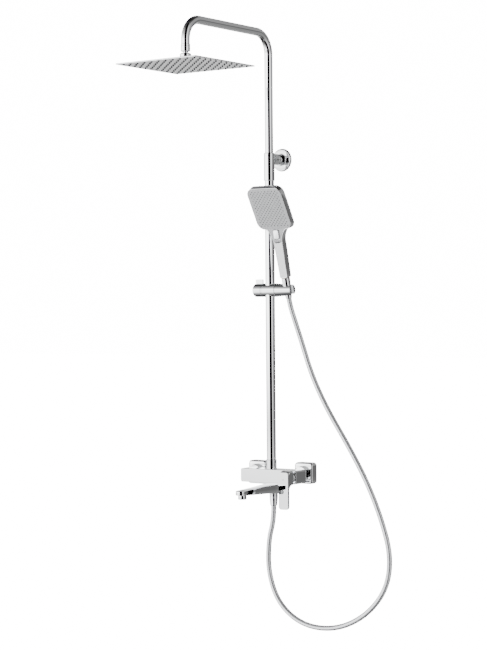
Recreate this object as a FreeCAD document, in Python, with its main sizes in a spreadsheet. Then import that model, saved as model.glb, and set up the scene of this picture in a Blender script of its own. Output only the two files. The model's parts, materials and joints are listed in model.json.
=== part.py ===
import FreeCAD, Part
import math
import os
import re

import Sketcher
from FreeCAD import Placement, Rotation, Vector

# Rainfall shower column: a wall mixer with a swivel bath spout, a riser with an
# overhead arm and a square rain head, and a hand shower on a sliding holder.
# Frame: origin midway between the two wall inlets on the wall plane, +X to the
# viewer's right, +Y into the wall, +Z up. Millimetres.

SIZES = {
    # wall connections and mixer body
    "inlet_spacing": 150.0,
    "inlet_thread_d": 20.96,
    "union_thread_d": 26.4,
    "nut_across_flats": 34.0,
    "escutcheon_side": 57.0,
    "escutcheon_depth": 23.0,
    "body_left": 86.0,
    "body_right": 93.0,
    "body_height": 36.5,
    "body_depth": 46.0,
    "body_back": 38.0,
    "body_mid": -6.5,
    "pad_drop": 3.3,
    # riser and arm
    "riser_stand": 62.0,
    "riser_d": 25.0,
    "riser_bore": 22.6,
    "collar_d": 28.0,
    "collar_top": 36.8,
    "sleeve_low": 779.0,
    "sleeve_high": 853.5,
    "sleeve_d": 28.4,
    "bracket_level": 838.0,
    "stem_d": 30.0,
    "flange_d": 62.0,
    "arm_d": 22.0,
    "arm_bore": 19.6,
    "arm_level": 1170.0,
    "arm_reach": 366.0,
    "arm_bend": 56.0,
    # rain head
    "head_side": 250.0,
    "head_level": 1049.0,
    "ball_level": 1068.0,
    "ball_d": 20.0,
    "head_pitch": 22.0,
    # lever and cartridge
    "lever_x": 75.0,
    "lever_width": 30.0,
    "lever_front": 118.0,
    "lever_low": -89.0,
    "pivot_stand": 76.0,
    "cartridge_d": 27.0,
    # spout and hose outlet
    "outlet_x": 5.0,
    "outlet_stand": 60.0,
    "spout_top": -28.4,
    "spout_low": -51.5,
    "spout_reach": 144.5,
    "barrel_d": 24.0,
    "hose_thread_d": 20.9,
    "hose_d": 14.0,
    # slider and hand shower
    "slider_level": 488.0,
    "slider_d": 36.0,
    "hold_x": 56.0,
    "hold_tilt": 15.4,
    "handle_low": 34.5,
    "handle_front": 9.7,
    "handset_width": 108.0,
    "handset_top": 289.0,
    "face_low": 169.0,
    "face_tilt": 15.6,
}

# Route of the hose centreline, from the hand shower's nut to the mixer's nut.
HOSE_ROUTE = [
    (56, -56.1, 466.7), (56, -50.6, 446.6), (66, -42, 404), (84, -38, 349), (116, -40, 262),
    (166, -45, 175), (237, -51, 78), (296, -55, -14), (340, -58, -108), (367, -60, -196),
    (356, -62, -281), (295, -63, -355), (202, -63, -400), (98, -62, -399), (20, -61, -349),
    (-14, -60, -267), (-12, -60, -178), (5, -60, -124), (5, -60, -86.5),
]

doc = FreeCAD.newDocument("ShowerColumn")
sheet = doc.addObject("Spreadsheet::Sheet", "Sizes")
for row, (alias, value) in enumerate(SIZES.items(), start=1):
    sheet.set(f"A{row}", alias)
    sheet.set(f"B{row}", str(value))
    sheet.setAlias(f"B{row}", alias)
doc.recompute()

PIECES = []
DIRECTIONS = {
    "Z": Vector(0, 0, 1), "-Z": Vector(0, 0, -1), "Y": Vector(0, 1, 0),
    "-Y": Vector(0, -1, 0), "X": Vector(1, 0, 0), "-X": Vector(-1, 0, 0),
}


# ---------------------------------------------------------------- helpers

def bound(text):
    """Point each size name of an expression at the spreadsheet."""
    def named(word):
        return "Sizes." + word.group(0) if word.group(0) in SIZES else word.group(0)
    return re.sub(r"[a-z_]+", named, str(text))


def number(text):
    """The value that an expression has now."""
    return float(sheet.evalExpression(bound(text)))


def point(at):
    return Vector(*[number(value) for value in at])


def place(thing, at=("0", "0", "0"), turn=None):
    """Bind a thing's position to the sheet and set how it is turned."""
    if isinstance(turn, str):
        turn = Rotation(Vector(0, 0, 1), DIRECTIONS[turn])
    thing.Placement = Placement(point(at), turn or Rotation())
    for axis, value in zip("xyz", at):
        thing.setExpression(f"Placement.Base.{axis}", bound(value))
    return thing


def keep(thing, label):
    """Name a finished sub-part."""
    thing.Label = label
    PIECES.append(thing)
    return thing


def rod(name, diameter, length, at, along="Z"):
    thing = doc.addObject("Part::Cylinder", name)
    thing.setExpression("Radius", bound(f"({diameter}) / 2"))
    thing.setExpression("Height", bound(length))
    return place(thing, at, along)


def box(name, low, size, turn=None):
    thing = doc.addObject("Part::Box", name)
    for side, value in zip(("Length", "Width", "Height"), size):
        thing.setExpression(side, bound(value))
    return place(thing, low, turn)


def ball(name, diameter, at):
    thing = doc.addObject("Part::Sphere", name)
    thing.setExpression("Radius", bound(f"({diameter}) / 2"))
    return place(thing, at)


def cone(name, low_d, high_d, length, at, along="Z", turn=None):
    thing = doc.addObject("Part::Cone", name)
    thing.setExpression("Radius1", bound(f"({low_d}) / 2"))
    thing.setExpression("Radius2", bound(f"({high_d}) / 2"))
    thing.setExpression("Height", bound(length))
    return place(thing, at, turn or along)


def fuse(name, *shapes):
    thing = doc.addObject("Part::MultiFuse", name)
    thing.Shapes = list(shapes)
    return thing


def cut(name, base, *tools):
    thing = doc.addObject("Part::Cut", name)
    thing.Base = base
    thing.Tool = tools[0] if len(tools) == 1 else fuse(name + "_tools", *tools)
    return thing


def common(name, *shapes):
    thing = doc.addObject("Part::MultiCommon", name)
    thing.Shapes = list(shapes)
    return thing


def add_edge(sketch, start, middle, end):
    """Add a line, or an arc through a middle point, and say which end is its start."""
    if middle is None:
        sketch.addGeometry(Part.LineSegment(start, end), False)
        return 1, 2
    edge = sketch.addGeometry(Part.Arc(start, middle, end), False)
    return (1, 2) if (sketch.getPoint(edge, 1) - start).Length < 1e-6 else (2, 1)


def pin_point(sketch, edge, corner, at):
    """Drive one sketch point from the sheet; a coordinate given as None stays free."""
    for kind, value, axis in (("DistanceX", at[0], -2), ("DistanceY", at[1], -1)):
        if value is None:
            continue
        if abs(number(value)) < 1e-9:
            sketch.addConstraint(Sketcher.Constraint("PointOnObject", edge, corner, axis))
        else:
            driver = Sketcher.Constraint(kind, -1, 1, edge, corner, number(value))
            index = sketch.addConstraint(driver)
            if bound(value) != value:
                sketch.setExpression(f"Constraints[{index}]", bound(value))


def outline(body, plane, points, closed=True):
    """A sketch through the points; a point marked "arc" is the middle of an arc."""
    sketch = body.newObject("Sketcher::SketchObject", body.Name + "_sketch")
    support = [part for part in body.Origin.OriginFeatures if part.Role == plane + "_Plane"]
    sketch.AttachmentSupport = [(support[0], "")]
    sketch.MapMode = "FlatFace"
    corners = [entry for entry in points if len(entry) == 2]
    middles = {}
    for before, entry in zip(points, points[1:]):
        if len(entry) == 3:
            middles[corners.index(before)] = entry[:2]
    flat = [Vector(number(x), number(y), 0) for x, y in corners]
    ends = []
    count = len(corners) if closed else len(corners) - 1
    for index in range(count):
        after = (index + 1) % len(corners)
        middle = middles.get(index)
        through = middle and Vector(number(middle[0]), number(middle[1]), 0)
        ends.append(add_edge(sketch, flat[index], through, flat[after]))
    for index in range(count if closed else count - 1):
        after = (index + 1) % count
        joint = Sketcher.Constraint("Coincident", index, ends[index][1], after, ends[after][0])
        sketch.addConstraint(joint)
    for index, corner in enumerate(corners[:count]):
        pin_point(sketch, index, ends[index][0], corner)
    if not closed:
        pin_point(sketch, count - 1, ends[-1][1], corners[-1])
    for index in middles:
        centre = sketch.Geometry[index].Center
        chord = flat[(index + 1) % len(corners)] - flat[index]
        across = (None, f"{centre.y:.9f}") if abs(chord.x) > abs(chord.y) else (
            f"{centre.x:.9f}", None)
        pin_point(sketch, index, 3, across)
    return sketch


def turned(name, profile, at=("0", "0", "0"), along="Z", turn=None):
    """A solid of revolution about its own Z, from (radius, height) corners."""
    body = doc.addObject("PartDesign::Body", name)
    sketch = outline(body, "XZ", profile)
    spin = body.newObject("PartDesign::Revolution", name + "_turn")
    spin.Profile = sketch
    spin.ReferenceAxis = (sketch, ["V_Axis"])
    spin.Angle = 360
    return place(body, at, turn or along)


def padded(name, plane, points, depth, at=("0", "0", "0"), turn=None, middle=False):
    """An outline on one of the origin planes, made solid."""
    body = doc.addObject("PartDesign::Body", name)
    sketch = outline(body, plane, points)
    pad = body.newObject("PartDesign::Pad", name + "_pad")
    pad.Profile = sketch
    pad.setExpression("Length", bound(depth))
    pad.Midplane = middle
    return place(body, at, turn)


def rounded(body, radius, wanted):
    """Round the edges of a body's last feature that a test picks out."""
    doc.recompute()
    base = body.Tip
    names = [f"Edge{index}" for index, edge in enumerate(base.Shape.Edges, 1) if wanted(edge)]
    fillet = body.newObject("PartDesign::Fillet", body.Name + "_round")
    fillet.Base = (base, names)
    fillet.setExpression("Radius", bound(radius))
    body.Tip = fillet
    return body


def runs_along(edge, axis):
    """True for a straight edge along one axis."""
    if len(edge.Vertexes) != 2 or not isinstance(edge.Curve, (Part.Line, Part.LineSegment)):
        return False
    span = edge.Vertexes[1].Point - edge.Vertexes[0].Point
    return abs(span.normalize().dot(DIRECTIONS[axis])) > 0.999


def lies_at(edge, axis, level):
    """True for an edge that lies in the plane where one coordinate has that value."""
    low = getattr(edge.BoundBox, axis + "Min")
    high = getattr(edge.BoundBox, axis + "Max")
    return abs(low - level) < 0.01 and abs(high - level) < 0.01


def rectangle(left, low, right, high):
    return [(left, low), (right, low), (right, high), (left, high)]


def ring_profile(inner, outer, low, high):
    return rectangle(f"({inner}) / 2", low, f"({outer}) / 2", high)


# ---------------------------------------------------------------- wall connections

def make_inlets():
    """Unions, union nuts, washers and escutcheons, one set at each wall inlet."""
    washers = []
    for side, sign in (("hot", "-"), ("cold", "")):
        middle = f"{sign}inlet_spacing / 2"
        profile = [
            ("7", "-18"), ("inlet_thread_d / 2", "-18"), ("inlet_thread_d / 2", "0"),
            ("12", "0"), ("12", "7"), ("union_thread_d / 2", "7"),
            ("union_thread_d / 2", "30.8"), ("9", "30.8"), ("9", "4"), ("7", "2"),
        ]
        union = turned(f"union_{side}", profile, (middle, "0", "0"), "-Y")
        keep(union, f"inlet_union_{side}")

        angle = [math.radians(60 * step + 30) for step in range(6)]
        factor = [(round(math.cos(a) / math.sqrt(3), 6), round(math.sin(a) / math.sqrt(3), 6))
                  for a in angle]
        hexagon = [(f"nut_across_flats * {x}", f"nut_across_flats * {y}") for x, y in factor]
        blank = padded(f"nut_blank_{side}", "XY", hexagon, "13", (middle, "-23.6", "0"), "-Y")
        crown = turned(f"nut_crown_{side}", [("0", "0"), ("18.2", "0"), ("19.4", "1.2"),
                                             ("19.4", "11.8"), ("18.2", "13"), ("0", "13")],
                       (middle, "-23.6", "0"), "-Y")
        thread = rod(f"nut_thread_{side}", "union_thread_d + 0.1", "11.7",
                     (middle, "-23.5", "0"), "-Y")
        lip = rod(f"nut_lip_{side}", "23.4", "20", (middle, "-20", "0"), "-Y")
        shaped = common(f"nut_shaped_{side}", blank, crown)
        keep(cut(f"nut_{side}", shaped, thread, lip), f"union_nut_{side}")

        washers.append(turned(f"washer_{side}", ring_profile("17", "24", "30.9", "32.9"),
                              (middle, "0", "0"), "-Y"))
        keep(make_escutcheon(side, middle), f"escutcheon_{side}")
    keep(fuse("washers", *washers), "inlet_washers")


def make_escutcheon(side, middle):
    half = "escutcheon_side / 2"
    shell = padded(f"escutcheon_shell_{side}", "XZ", rectangle(f"-{half}", f"-{half}", half, half),
                   "escutcheon_depth", (middle, "0", "0"))
    rounded(shell, "9", lambda edge: runs_along(edge, "Y"))
    depth = number("escutcheon_depth")
    rounded(shell, "5", lambda edge: lies_at(edge, "Y", -depth))
    inner = "escutcheon_side / 2 - 2.2"
    hollow = padded(f"escutcheon_hollow_{side}", "XZ",
                    rectangle(f"-({inner})", f"-({inner})", inner, inner),
                    "escutcheon_depth - 3", (middle, "0", "0"))
    rounded(hollow, "7", lambda edge: runs_along(edge, "Y"))
    rounded(hollow, "3.5", lambda edge: lies_at(edge, "Y", -depth + 3))
    hole = rod(f"escutcheon_hole_{side}", "union_thread_d + 0.3", "40", (middle, "5", "0"), "-Y")
    return cut(f"escutcheon_{side}", shell, hollow, hole)


# ---------------------------------------------------------------- mixer body

def make_mixer_body():
    """The brass casting, with its bores, inlet tails and riser boss."""
    low = "body_mid - body_height / 2"
    high = "body_mid + body_height / 2"
    block = padded("body_block", "XZ", rectangle("-body_left", low, "body_right", high),
                   "body_depth", ("0", "-body_back", "0"))
    rounded(block, "4.5", lambda edge: runs_along(edge, "Y"))
    rounded(block, "1.5", lambda edge: lies_at(edge, "Y", -number("body_depth")))
    pad_low = "body_mid - body_height / 2 - pad_drop"
    belly = padded("body_belly", "XZ", [("-56", pad_low), ("58", pad_low), ("62", low),
                                        ("-62", low)], "body_depth - 6",
                   ("0", "-body_back - 3", "0"))
    solids = [block, belly]
    for side, sign in (("hot", "-"), ("cold", "")):
        middle = f"{sign}inlet_spacing / 2"
        solids.append(turned(f"tail_{side}", [("0", "33"), ("12.7", "33"), ("12.7", "34.8"),
                                              ("11.5", "34.8"), ("11.5", "40"), ("0", "40")],
                             (middle, "0", "0"), "-Y"))
    solids.append(rod("riser_boss", "riser_d - 1", "12",
                      ("0", "-riser_stand", "body_mid + body_height / 2 - 1")))
    casting = fuse("casting", *solids)
    bores = [
        rod("cartridge_bore", "cartridge_d", "34", ("lever_x", "-body_back - body_depth - 0.5",
                                                    "body_mid"), "Y"),
        rod("cross_bore", "12", "142", ("-80", "-outlet_stand", "body_mid"), "X"),
        rod("riser_way", "16", "40", ("0", "-riser_stand", "body_mid")),
        rod("outlet_way", "12", "40", ("outlet_x", "-outlet_stand", "body_mid"), "-Z"),
        rod("outlet_thread", "20.1", "30", ("outlet_x", "-outlet_stand", "-17"), "-Z"),
        rod("way_hot", "14", "30", ("-inlet_spacing / 2", "-33", "0"), "-Y"),
        rod("way_cold", "14", "14", ("inlet_spacing / 2", "-33", "0"), "-Y"),
    ]
    keep(cut("mixer", casting, *bores), "mixer_body")


def make_cartridge():
    """The ceramic cartridge, its retaining nut, its domed trim and its turning core."""
    level = "body_mid"
    front = "-body_back - body_depth"
    housing = [("9", "0"), ("cartridge_d / 2 - 0.05", "0"), ("cartridge_d / 2 - 0.05", "30"),
               ("0", "30"), ("0", "26"), ("9", "26")]
    keep(turned("housing", housing, ("lever_x", f"{front} + 3.5", level), "Y"),
         "cartridge_housing")
    keep(turned("retainer", ring_profile("20.5", "cartridge_d - 0.1", "0", "3.3"),
                ("lever_x", front, level), "Y"), "cartridge_nut")
    dome = [("13.2", "0"), ("15", "0"), ("15", "1.5"), ("14.3", "3.6", "arc"), ("12", "5.4"),
            ("9.2", "6"), ("9.2", "4.8"), ("11.6", "4.1"), ("13.2", "1.4")]
    keep(turned("dome", dome, ("lever_x", front, level), "-Y"), "cartridge_trim")

    core = rod("core_blank", "17.9", "18", ("lever_x", "-79.5", level), "Y")
    slot = box("core_slot", ("lever_x - 3.3", "-80", f"{level} - 8"), ("6.6", "11", "16"))
    pin_hole = rod("core_pin_hole", "3", "30", ("lever_x - 15", "-pivot_stand", level), "X")
    keep(cut("core", core, slot, pin_hole), "cartridge_core")
    keep(rod("pivot_pin", "2.98", "17", ("lever_x - 8.5", "-pivot_stand", level), "X"),
         "lever_pivot_pin")

    stem = box("stem_bar", ("lever_x - 3", "-108", f"{level} - 3"), ("6", "35.5", "6"))
    eye = rod("stem_eye", "3.06", "20", ("lever_x - 10", "-pivot_stand", level), "X")
    keep(cut("stem", stem, eye), "lever_stem")


def make_lever():
    """The flat lever: a hollow hub in front of the trim and a plate hanging down."""
    back = "-93"
    profile = [
        (back, "12.3"), (back, "-25"), ("-98", "-25"), ("-107.2", "-28.8", "arc"),
        ("-111", "-38"), ("-111", "lever_low + 1"), ("-112", "lever_low"),
        ("-lever_front + 2", "lever_low"), ("-lever_front", "lever_low + 2"),
        ("-lever_front", "9.3"), ("-lever_front + 0.9", "11.4"),
        ("-lever_front + 3", "12.3"),
    ]
    handle = padded("handle", "YZ", profile, "lever_width", ("lever_x", "0", "0"), None, True)
    rounded(handle, "7", lambda edge: runs_along(edge, "Y") and edge.BoundBox.ZMin > 12)
    low = number("lever_low")
    rounded(handle, "8", lambda edge: runs_along(edge, "Y") and edge.BoundBox.ZMax < low + 0.1)
    hollow = box("hub_hollow", ("lever_x - 12", "-101", "-21.5"), ("24", "10", "30.5"))
    socket = box("stem_socket", ("lever_x - 3.05", "-108.1", "body_mid - 3.05"),
                 ("6.1", "10", "6.1"))
    screw_hole = rod("screw_hole", "5", "16.4", ("lever_x", "-104.5", "-26"))
    dot = rod("dot_recess", "3.4", "1", ("lever_x", "-lever_front - 0.1", "-10.5"), "Y")
    keep(cut("lever", handle, hollow, socket, screw_hole, dot), "lever_handle")
    keep(rod("lever_grub", "4.9", "12", ("lever_x", "-104.5", "-21.7")), "lever_screw")
    keep(rod("lever_dot", "3.3", "0.9", ("lever_x", "-lever_front", "-10.5"), "Y"),
         "lever_indicator")


# ---------------------------------------------------------------- spout and hose outlet

def make_outlet():
    """The fixed barrel that the spout swings on and that carries the hose."""
    at = ("outlet_x", "-outlet_stand", "0")
    barrel = [
        ("6", "-17.2"), ("10", "-17.2"), ("10", "spout_top + 0.35"),
        ("barrel_d / 2", "spout_top + 0.35"),
        ("barrel_d / 2", "-31.6"), ("10.2", "-31.6"), ("10.2", "-33.8"), ("barrel_d / 2", "-33.8"),
        ("barrel_d / 2", "-46.2"), ("10.2", "-46.2"), ("10.2", "-48.4"), ("barrel_d / 2", "-48.4"),
        ("barrel_d / 2", "spout_low - 0.3"), ("hose_thread_d / 2", "spout_low - 0.3"),
        ("hose_thread_d / 2", "-64"), ("7", "-64"), ("6", "-62"),
    ]
    blank = turned("barrel_blank", barrel, at)
    port = rod("barrel_port", "8", "20", ("outlet_x", "-outlet_stand", "-40"), "-Y")
    keep(cut("barrel", blank, port), "outlet_barrel")
    seals = []
    for index, level in enumerate(("-32.7", "-47.3")):
        seal = doc.addObject("Part::Torus", f"seal_{index}")
        seal.setExpression("Radius1", bound("barrel_d / 2 - 0.9"))
        seal.setExpression("Radius2", "0.85")
        seals.append(place(seal, ("outlet_x", "-outlet_stand", level)))
    keep(fuse("seals", *seals), "spout_seals")
    keep(turned("retaining", ring_profile("hose_thread_d + 0.1", "27", "spout_low - 2.2",
                                          "spout_low - 0.4"), at), "spout_retaining_ring")


def make_spout():
    """The flat swivel spout, wide at its root and round at its tip."""
    at = ("outlet_x", "-outlet_stand", "0")
    tip = "-(spout_reach + 6)"
    plan = [
        ("25", "0"), ("17.678", "17.678", "arc"), ("0", "25"), ("-17.678", "17.678", "arc"),
        ("-25", "0"), ("-21.4", "-16"), ("-17.2", "-42"), ("-14", "-92"),
        ("-14", tip), ("-9.9", f"{tip} - 9.9", "arc"), ("0", f"{tip} - 14"),
        ("9.9", f"{tip} - 9.9", "arc"), ("14", tip), ("14", "-92"), ("17.2", "-42"),
        ("21.4", "-16"),
    ]
    flat = padded("spout_plan", "XY", plan, "40", ("outlet_x", "-outlet_stand", "-60"))
    side = [
        ("26", "spout_low"), ("26", "spout_top"), ("-34", "spout_top"),
        ("-(spout_reach + 22)", "spout_top - 7.4"), ("-(spout_reach + 22)", "spout_low + 4.1"),
        ("-80", "spout_low + 2"), ("-24", "spout_low"),
    ]
    profile = padded("spout_side", "YZ", side, "60", at, None, True)
    blank = common("spout_blank", flat, profile)
    tools = [
        rod("spout_bore", "barrel_d + 0.1", "40", ("outlet_x", "-outlet_stand", "-60")),
        rod("spout_chamber", "29", "8", ("outlet_x", "-outlet_stand", "-44")),
        rod("spout_way", "7.6", "130", ("outlet_x", "-outlet_stand - 14", "-40.4"), "-Y"),
        rod("aerator_seat", "20", "8.5", ("outlet_x", "-outlet_stand - spout_reach", "-51")),
    ]
    keep(cut("spout_cut", blank, *tools), "spout")

    mouth = ("outlet_x", "-outlet_stand - spout_reach", "0")
    housing = [("8.7", "-58"), ("10.4", "-58"), ("11.2", "-57.2"), ("11.2", "-48.5"),
               ("9.9", "-48.5"), ("9.9", "-43.2"), ("8.7", "-43.2")]
    keep(turned("aerator_shell", housing, mouth), "aerator_housing")
    disc = rod("aerator_disc", "17.3", "11", ("outlet_x", "-outlet_stand - spout_reach", "-57.4"))
    holes = []
    for ring_d, count in ((5, 6), (10.5, 12)):
        for step in range(count):
            angle = 2 * math.pi * step / count
            holes.append(rod(f"hole_{count}_{step}", "1.5", "14", (
                f"outlet_x + {round(ring_d / 2 * math.cos(angle), 3)}",
                f"-outlet_stand - spout_reach + {round(ring_d / 2 * math.sin(angle), 3)}", "-58")))
    keep(cut("aerator_grid", disc, *holes), "aerator_insert")


# ---------------------------------------------------------------- riser, arm and bracket

def make_riser():
    """Collar nut, lower tube, joining sleeve and their seals."""
    at = ("0", "-riser_stand", "0")
    deck = "body_mid + body_height / 2"
    collar = [("12.1", deck), ("collar_d / 2 - 0.8", deck), ("collar_d / 2", f"{deck} + 0.8"),
              ("collar_d / 2", "collar_top - 1.2"), ("collar_d / 2 - 1.2", "collar_top"),
              ("12.6", "collar_top"), ("12.6", "27.3"), ("13.1", "27.3"), ("13.1", "24"),
              ("12.1", "24")]
    keep(turned("collar", collar, at), "riser_collar_nut")
    tube = [("riser_bore / 2", "25"), ("13", "25"), ("13", "27"), ("riser_d / 2", "27"),
            ("riser_d / 2", "815"), ("riser_bore / 2", "815")]
    keep(turned("lower_tube", tube, at), "riser_lower_tube")
    keep(turned("riser_gasket", ring_profile("17", "24", "22.9", "24.9"), at), "riser_washer")

    sleeve = [("12.55", "sleeve_low"), ("sleeve_d / 2 - 1.2", "sleeve_low"),
              ("sleeve_d / 2", "sleeve_low + 2.4"), ("sleeve_d / 2", "sleeve_high - 2.4"),
              ("sleeve_d / 2 - 1.8", "sleeve_high"), ("11.05", "sleeve_high"),
              ("11.05", "818.5"), ("10", "818.5"), ("10", "815.5"), ("12.55", "815.5")]
    blank = turned("sleeve_blank", sleeve, at)
    tapped = rod("sleeve_tapping", "4", "20", ("0", "-riser_stand", "796"), "Y")
    keep(cut("sleeve", blank, tapped), "riser_sleeve")
    keep(rod("sleeve_grub", "3.95", "1.5", ("0", "-riser_stand + 12.6", "796"), "Y"),
         "sleeve_screw")


def make_bracket():
    """The wall bracket behind the sleeve."""
    middle = ("0", "0", "bracket_level")
    stem = rod("stem_blank", "stem_d", "20.6", ("0", "-49.5", "bracket_level"), "Y")
    saddle = rod("stem_saddle", "sleeve_d + 0.04", "60",
                 ("0", "-riser_stand", "bracket_level - 30"))
    keep(cut("stem_cut", stem, saddle), "bracket_stem")
    flange = [
        ("0", "28.7"), ("stem_d / 2 - 1", "28.7"), ("stem_d / 2", "27.7"), ("stem_d / 2", "7.5"),
        ("16.4", "6.2"), ("flange_d / 2 - 4", "5.6"), ("flange_d / 2 - 1.17", "4.43", "arc"),
        ("flange_d / 2", "1.6"), ("flange_d / 2", "0"), ("flange_d / 2 - 2", "0"),
        ("flange_d / 2 - 2", "2"), ("13", "3.4"), ("13", "24"), ("0", "24"),
    ]
    blank = turned("flange_blank", flange, middle, "-Y")
    tapped = rod("flange_tapping", "4", "20", ("0", "-13", "bracket_level - 20"))
    keep(cut("flange", blank, tapped), "bracket_flange")
    base = [("2.6", "0"), ("12.9", "0"), ("12.9", "18"), ("4.6", "18"), ("4.6", "15.4"),
            ("2.6", "15.4")]
    keep(turned("base", base, middle, "-Y"), "bracket_wall_base")
    keep(rod("flange_grub", "3.9", "1.9", ("0", "-13", "bracket_level - 14.9")),
         "bracket_screw")


def make_arm():
    """The bent overhead tube, with the nut and the ball at its end."""
    body = doc.addObject("PartDesign::Body", "arm")
    top = "arm_level"
    near = "-riser_stand"
    far = "-riser_stand - arm_reach"
    bend = round(1 - math.sqrt(0.5), 6)
    spine = outline(body, "YZ", [
        (near, "818.8"), (near, f"{top} - arm_bend"),
        (f"{near} - arm_bend * {bend}", f"{top} - arm_bend * {bend}", "arc"),
        (f"{near} - arm_bend", top), (f"{far} + arm_bend", top),
        (f"{far} + arm_bend * {bend}", f"{top} - arm_bend * {bend}", "arc"),
        (far, f"{top} - arm_bend"), (far, "1091.3"),
    ], closed=False)
    section = body.newObject("Sketcher::SketchObject", "arm_section")
    support = [part for part in body.Origin.OriginFeatures if part.Role == "XY_Plane"]
    section.AttachmentSupport = [(support[0], "")]
    section.MapMode = "FlatFace"
    section.AttachmentOffset = Placement(Vector(0, 0, 818.8), Rotation())
    centre = Vector(0, number(near), 0)
    for index, size in enumerate(("arm_d / 2", "arm_bore / 2")):
        section.addGeometry(Part.Circle(centre, Vector(0, 0, 1), number(size)), False)
        pin_point(section, index, 3, ("0", near))
        driver = section.addConstraint(Sketcher.Constraint("Radius", index, number(size)))
        section.setExpression(f"Constraints[{driver}]", bound(size))
    pipe = body.newObject("PartDesign::AdditivePipe", "arm_pipe")
    pipe.Profile = section
    pipe.Spine = spine
    keep(body, "arm_tube")

    end = ("0", far, "0")
    nut = [("7.1", "1084"), ("10.8", "1084"), ("12", "1085.8"), ("12", "1102.4"),
           ("11.4", "1103"), ("11.05", "1103"), ("11.05", "1088"), ("7.1", "1088")]
    keep(turned("end_nut", nut, end), "arm_end_nut")
    stud = turned("stud_blank", [("0", "1070"), ("6", "1070"), ("6", "1085"), ("7", "1086"),
                                 ("7", "1088.05"), ("10.9", "1088.05"), ("10.9", "1091.2"),
                                 ("0", "1091.2")], end)
    sphere = ball("stud_ball", "ball_d", ("0", far, "ball_level"))
    way = rod("stud_way", "7", "60", ("0", far, "1050"))
    keep(cut("stud", fuse("stud_solid", stud, sphere), way), "ball_stud")


# ---------------------------------------------------------------- rain head

def make_head():
    """The thin square head on its ball joint."""
    far = "-riser_stand - arm_reach"
    hub = ("0", far, "0")
    seat = turned("seat_blank", ring_profile("10", "30", "ball_level - 3", "ball_level + 4.8"),
                  hub)
    seat_in = ball("seat_in", "ball_d + 0.1", ("0", far, "ball_level"))
    seat_out = ball("seat_out", "24", ("0", far, "ball_level"))
    keep(cut("seat", common("seat_round", seat, seat_out), seat_in), "ball_seat_ring")

    collar = turned("collar_blank", [("0", "1062.2"), ("14.5", "1062.2"), ("14.5", "1078.5"),
                                     ("13", "1080"), ("10.6", "1080"), ("10.6", "1074"),
                                     ("0", "1074")], hub)
    cavity = ball("collar_cavity", "24.1", ("0", far, "ball_level"))
    way = rod("collar_way", "16", "12", ("0", far, "1055"))
    keep(cut("head_collar_cut", collar, cavity, way), "head_collar")

    half = "head_side / 2"
    low = "head_level + 1.2"
    shell = box("top_shell", (f"-{half}", f"{far} - {half}", low), ("head_side", "head_side", "2"))
    dome = cone("top_dome", "100", "33", "9.8", ("0", far, f"{low} + 2"))
    hollow = box("top_hollow", (f"-{half} + 2", f"{far} - {half} + 2", low),
                 ("head_side - 4", "head_side - 4", "1.1"))
    dome_hollow = cone("dome_hollow", "94", "24", "9.8", ("0", far, f"{low} + 0.2"))
    mouth = rod("dome_mouth", "16", "20", ("0", far, low))
    keep(cut("top", fuse("top_solid", shell, dome), hollow, dome_hollow, mouth),
         "head_top_plate")

    plate = box("spray_blank", (f"-{half}", f"{far} - {half}", "head_level"),
                ("head_side", "head_side", "1.2"))
    doc.recompute()
    pitch = number("head_pitch")
    places = [Vector(column * pitch, number(far) + line * pitch, number("head_level"))
              for column in range(-5, 6) for line in range(-5, 6)]
    holes = [Part.makeCylinder(2.2, 4, spot - Vector(0, 0, 1)) for spot in places]
    pierced = doc.addObject("Part::Feature", "spray")
    pierced.Shape = plate.Shape.cut(Part.makeCompound(holes))
    keep(pierced, "head_spray_plate")
    nozzles = doc.addObject("Part::Feature", "nozzles")
    nozzles.Shape = Part.makeCompound([
        Part.makeCone(1.5, 2.1, 4.0, spot - Vector(0, 0, 2.6)) for spot in places])
    keep(nozzles, "head_nozzles")


# ---------------------------------------------------------------- slider

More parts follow.
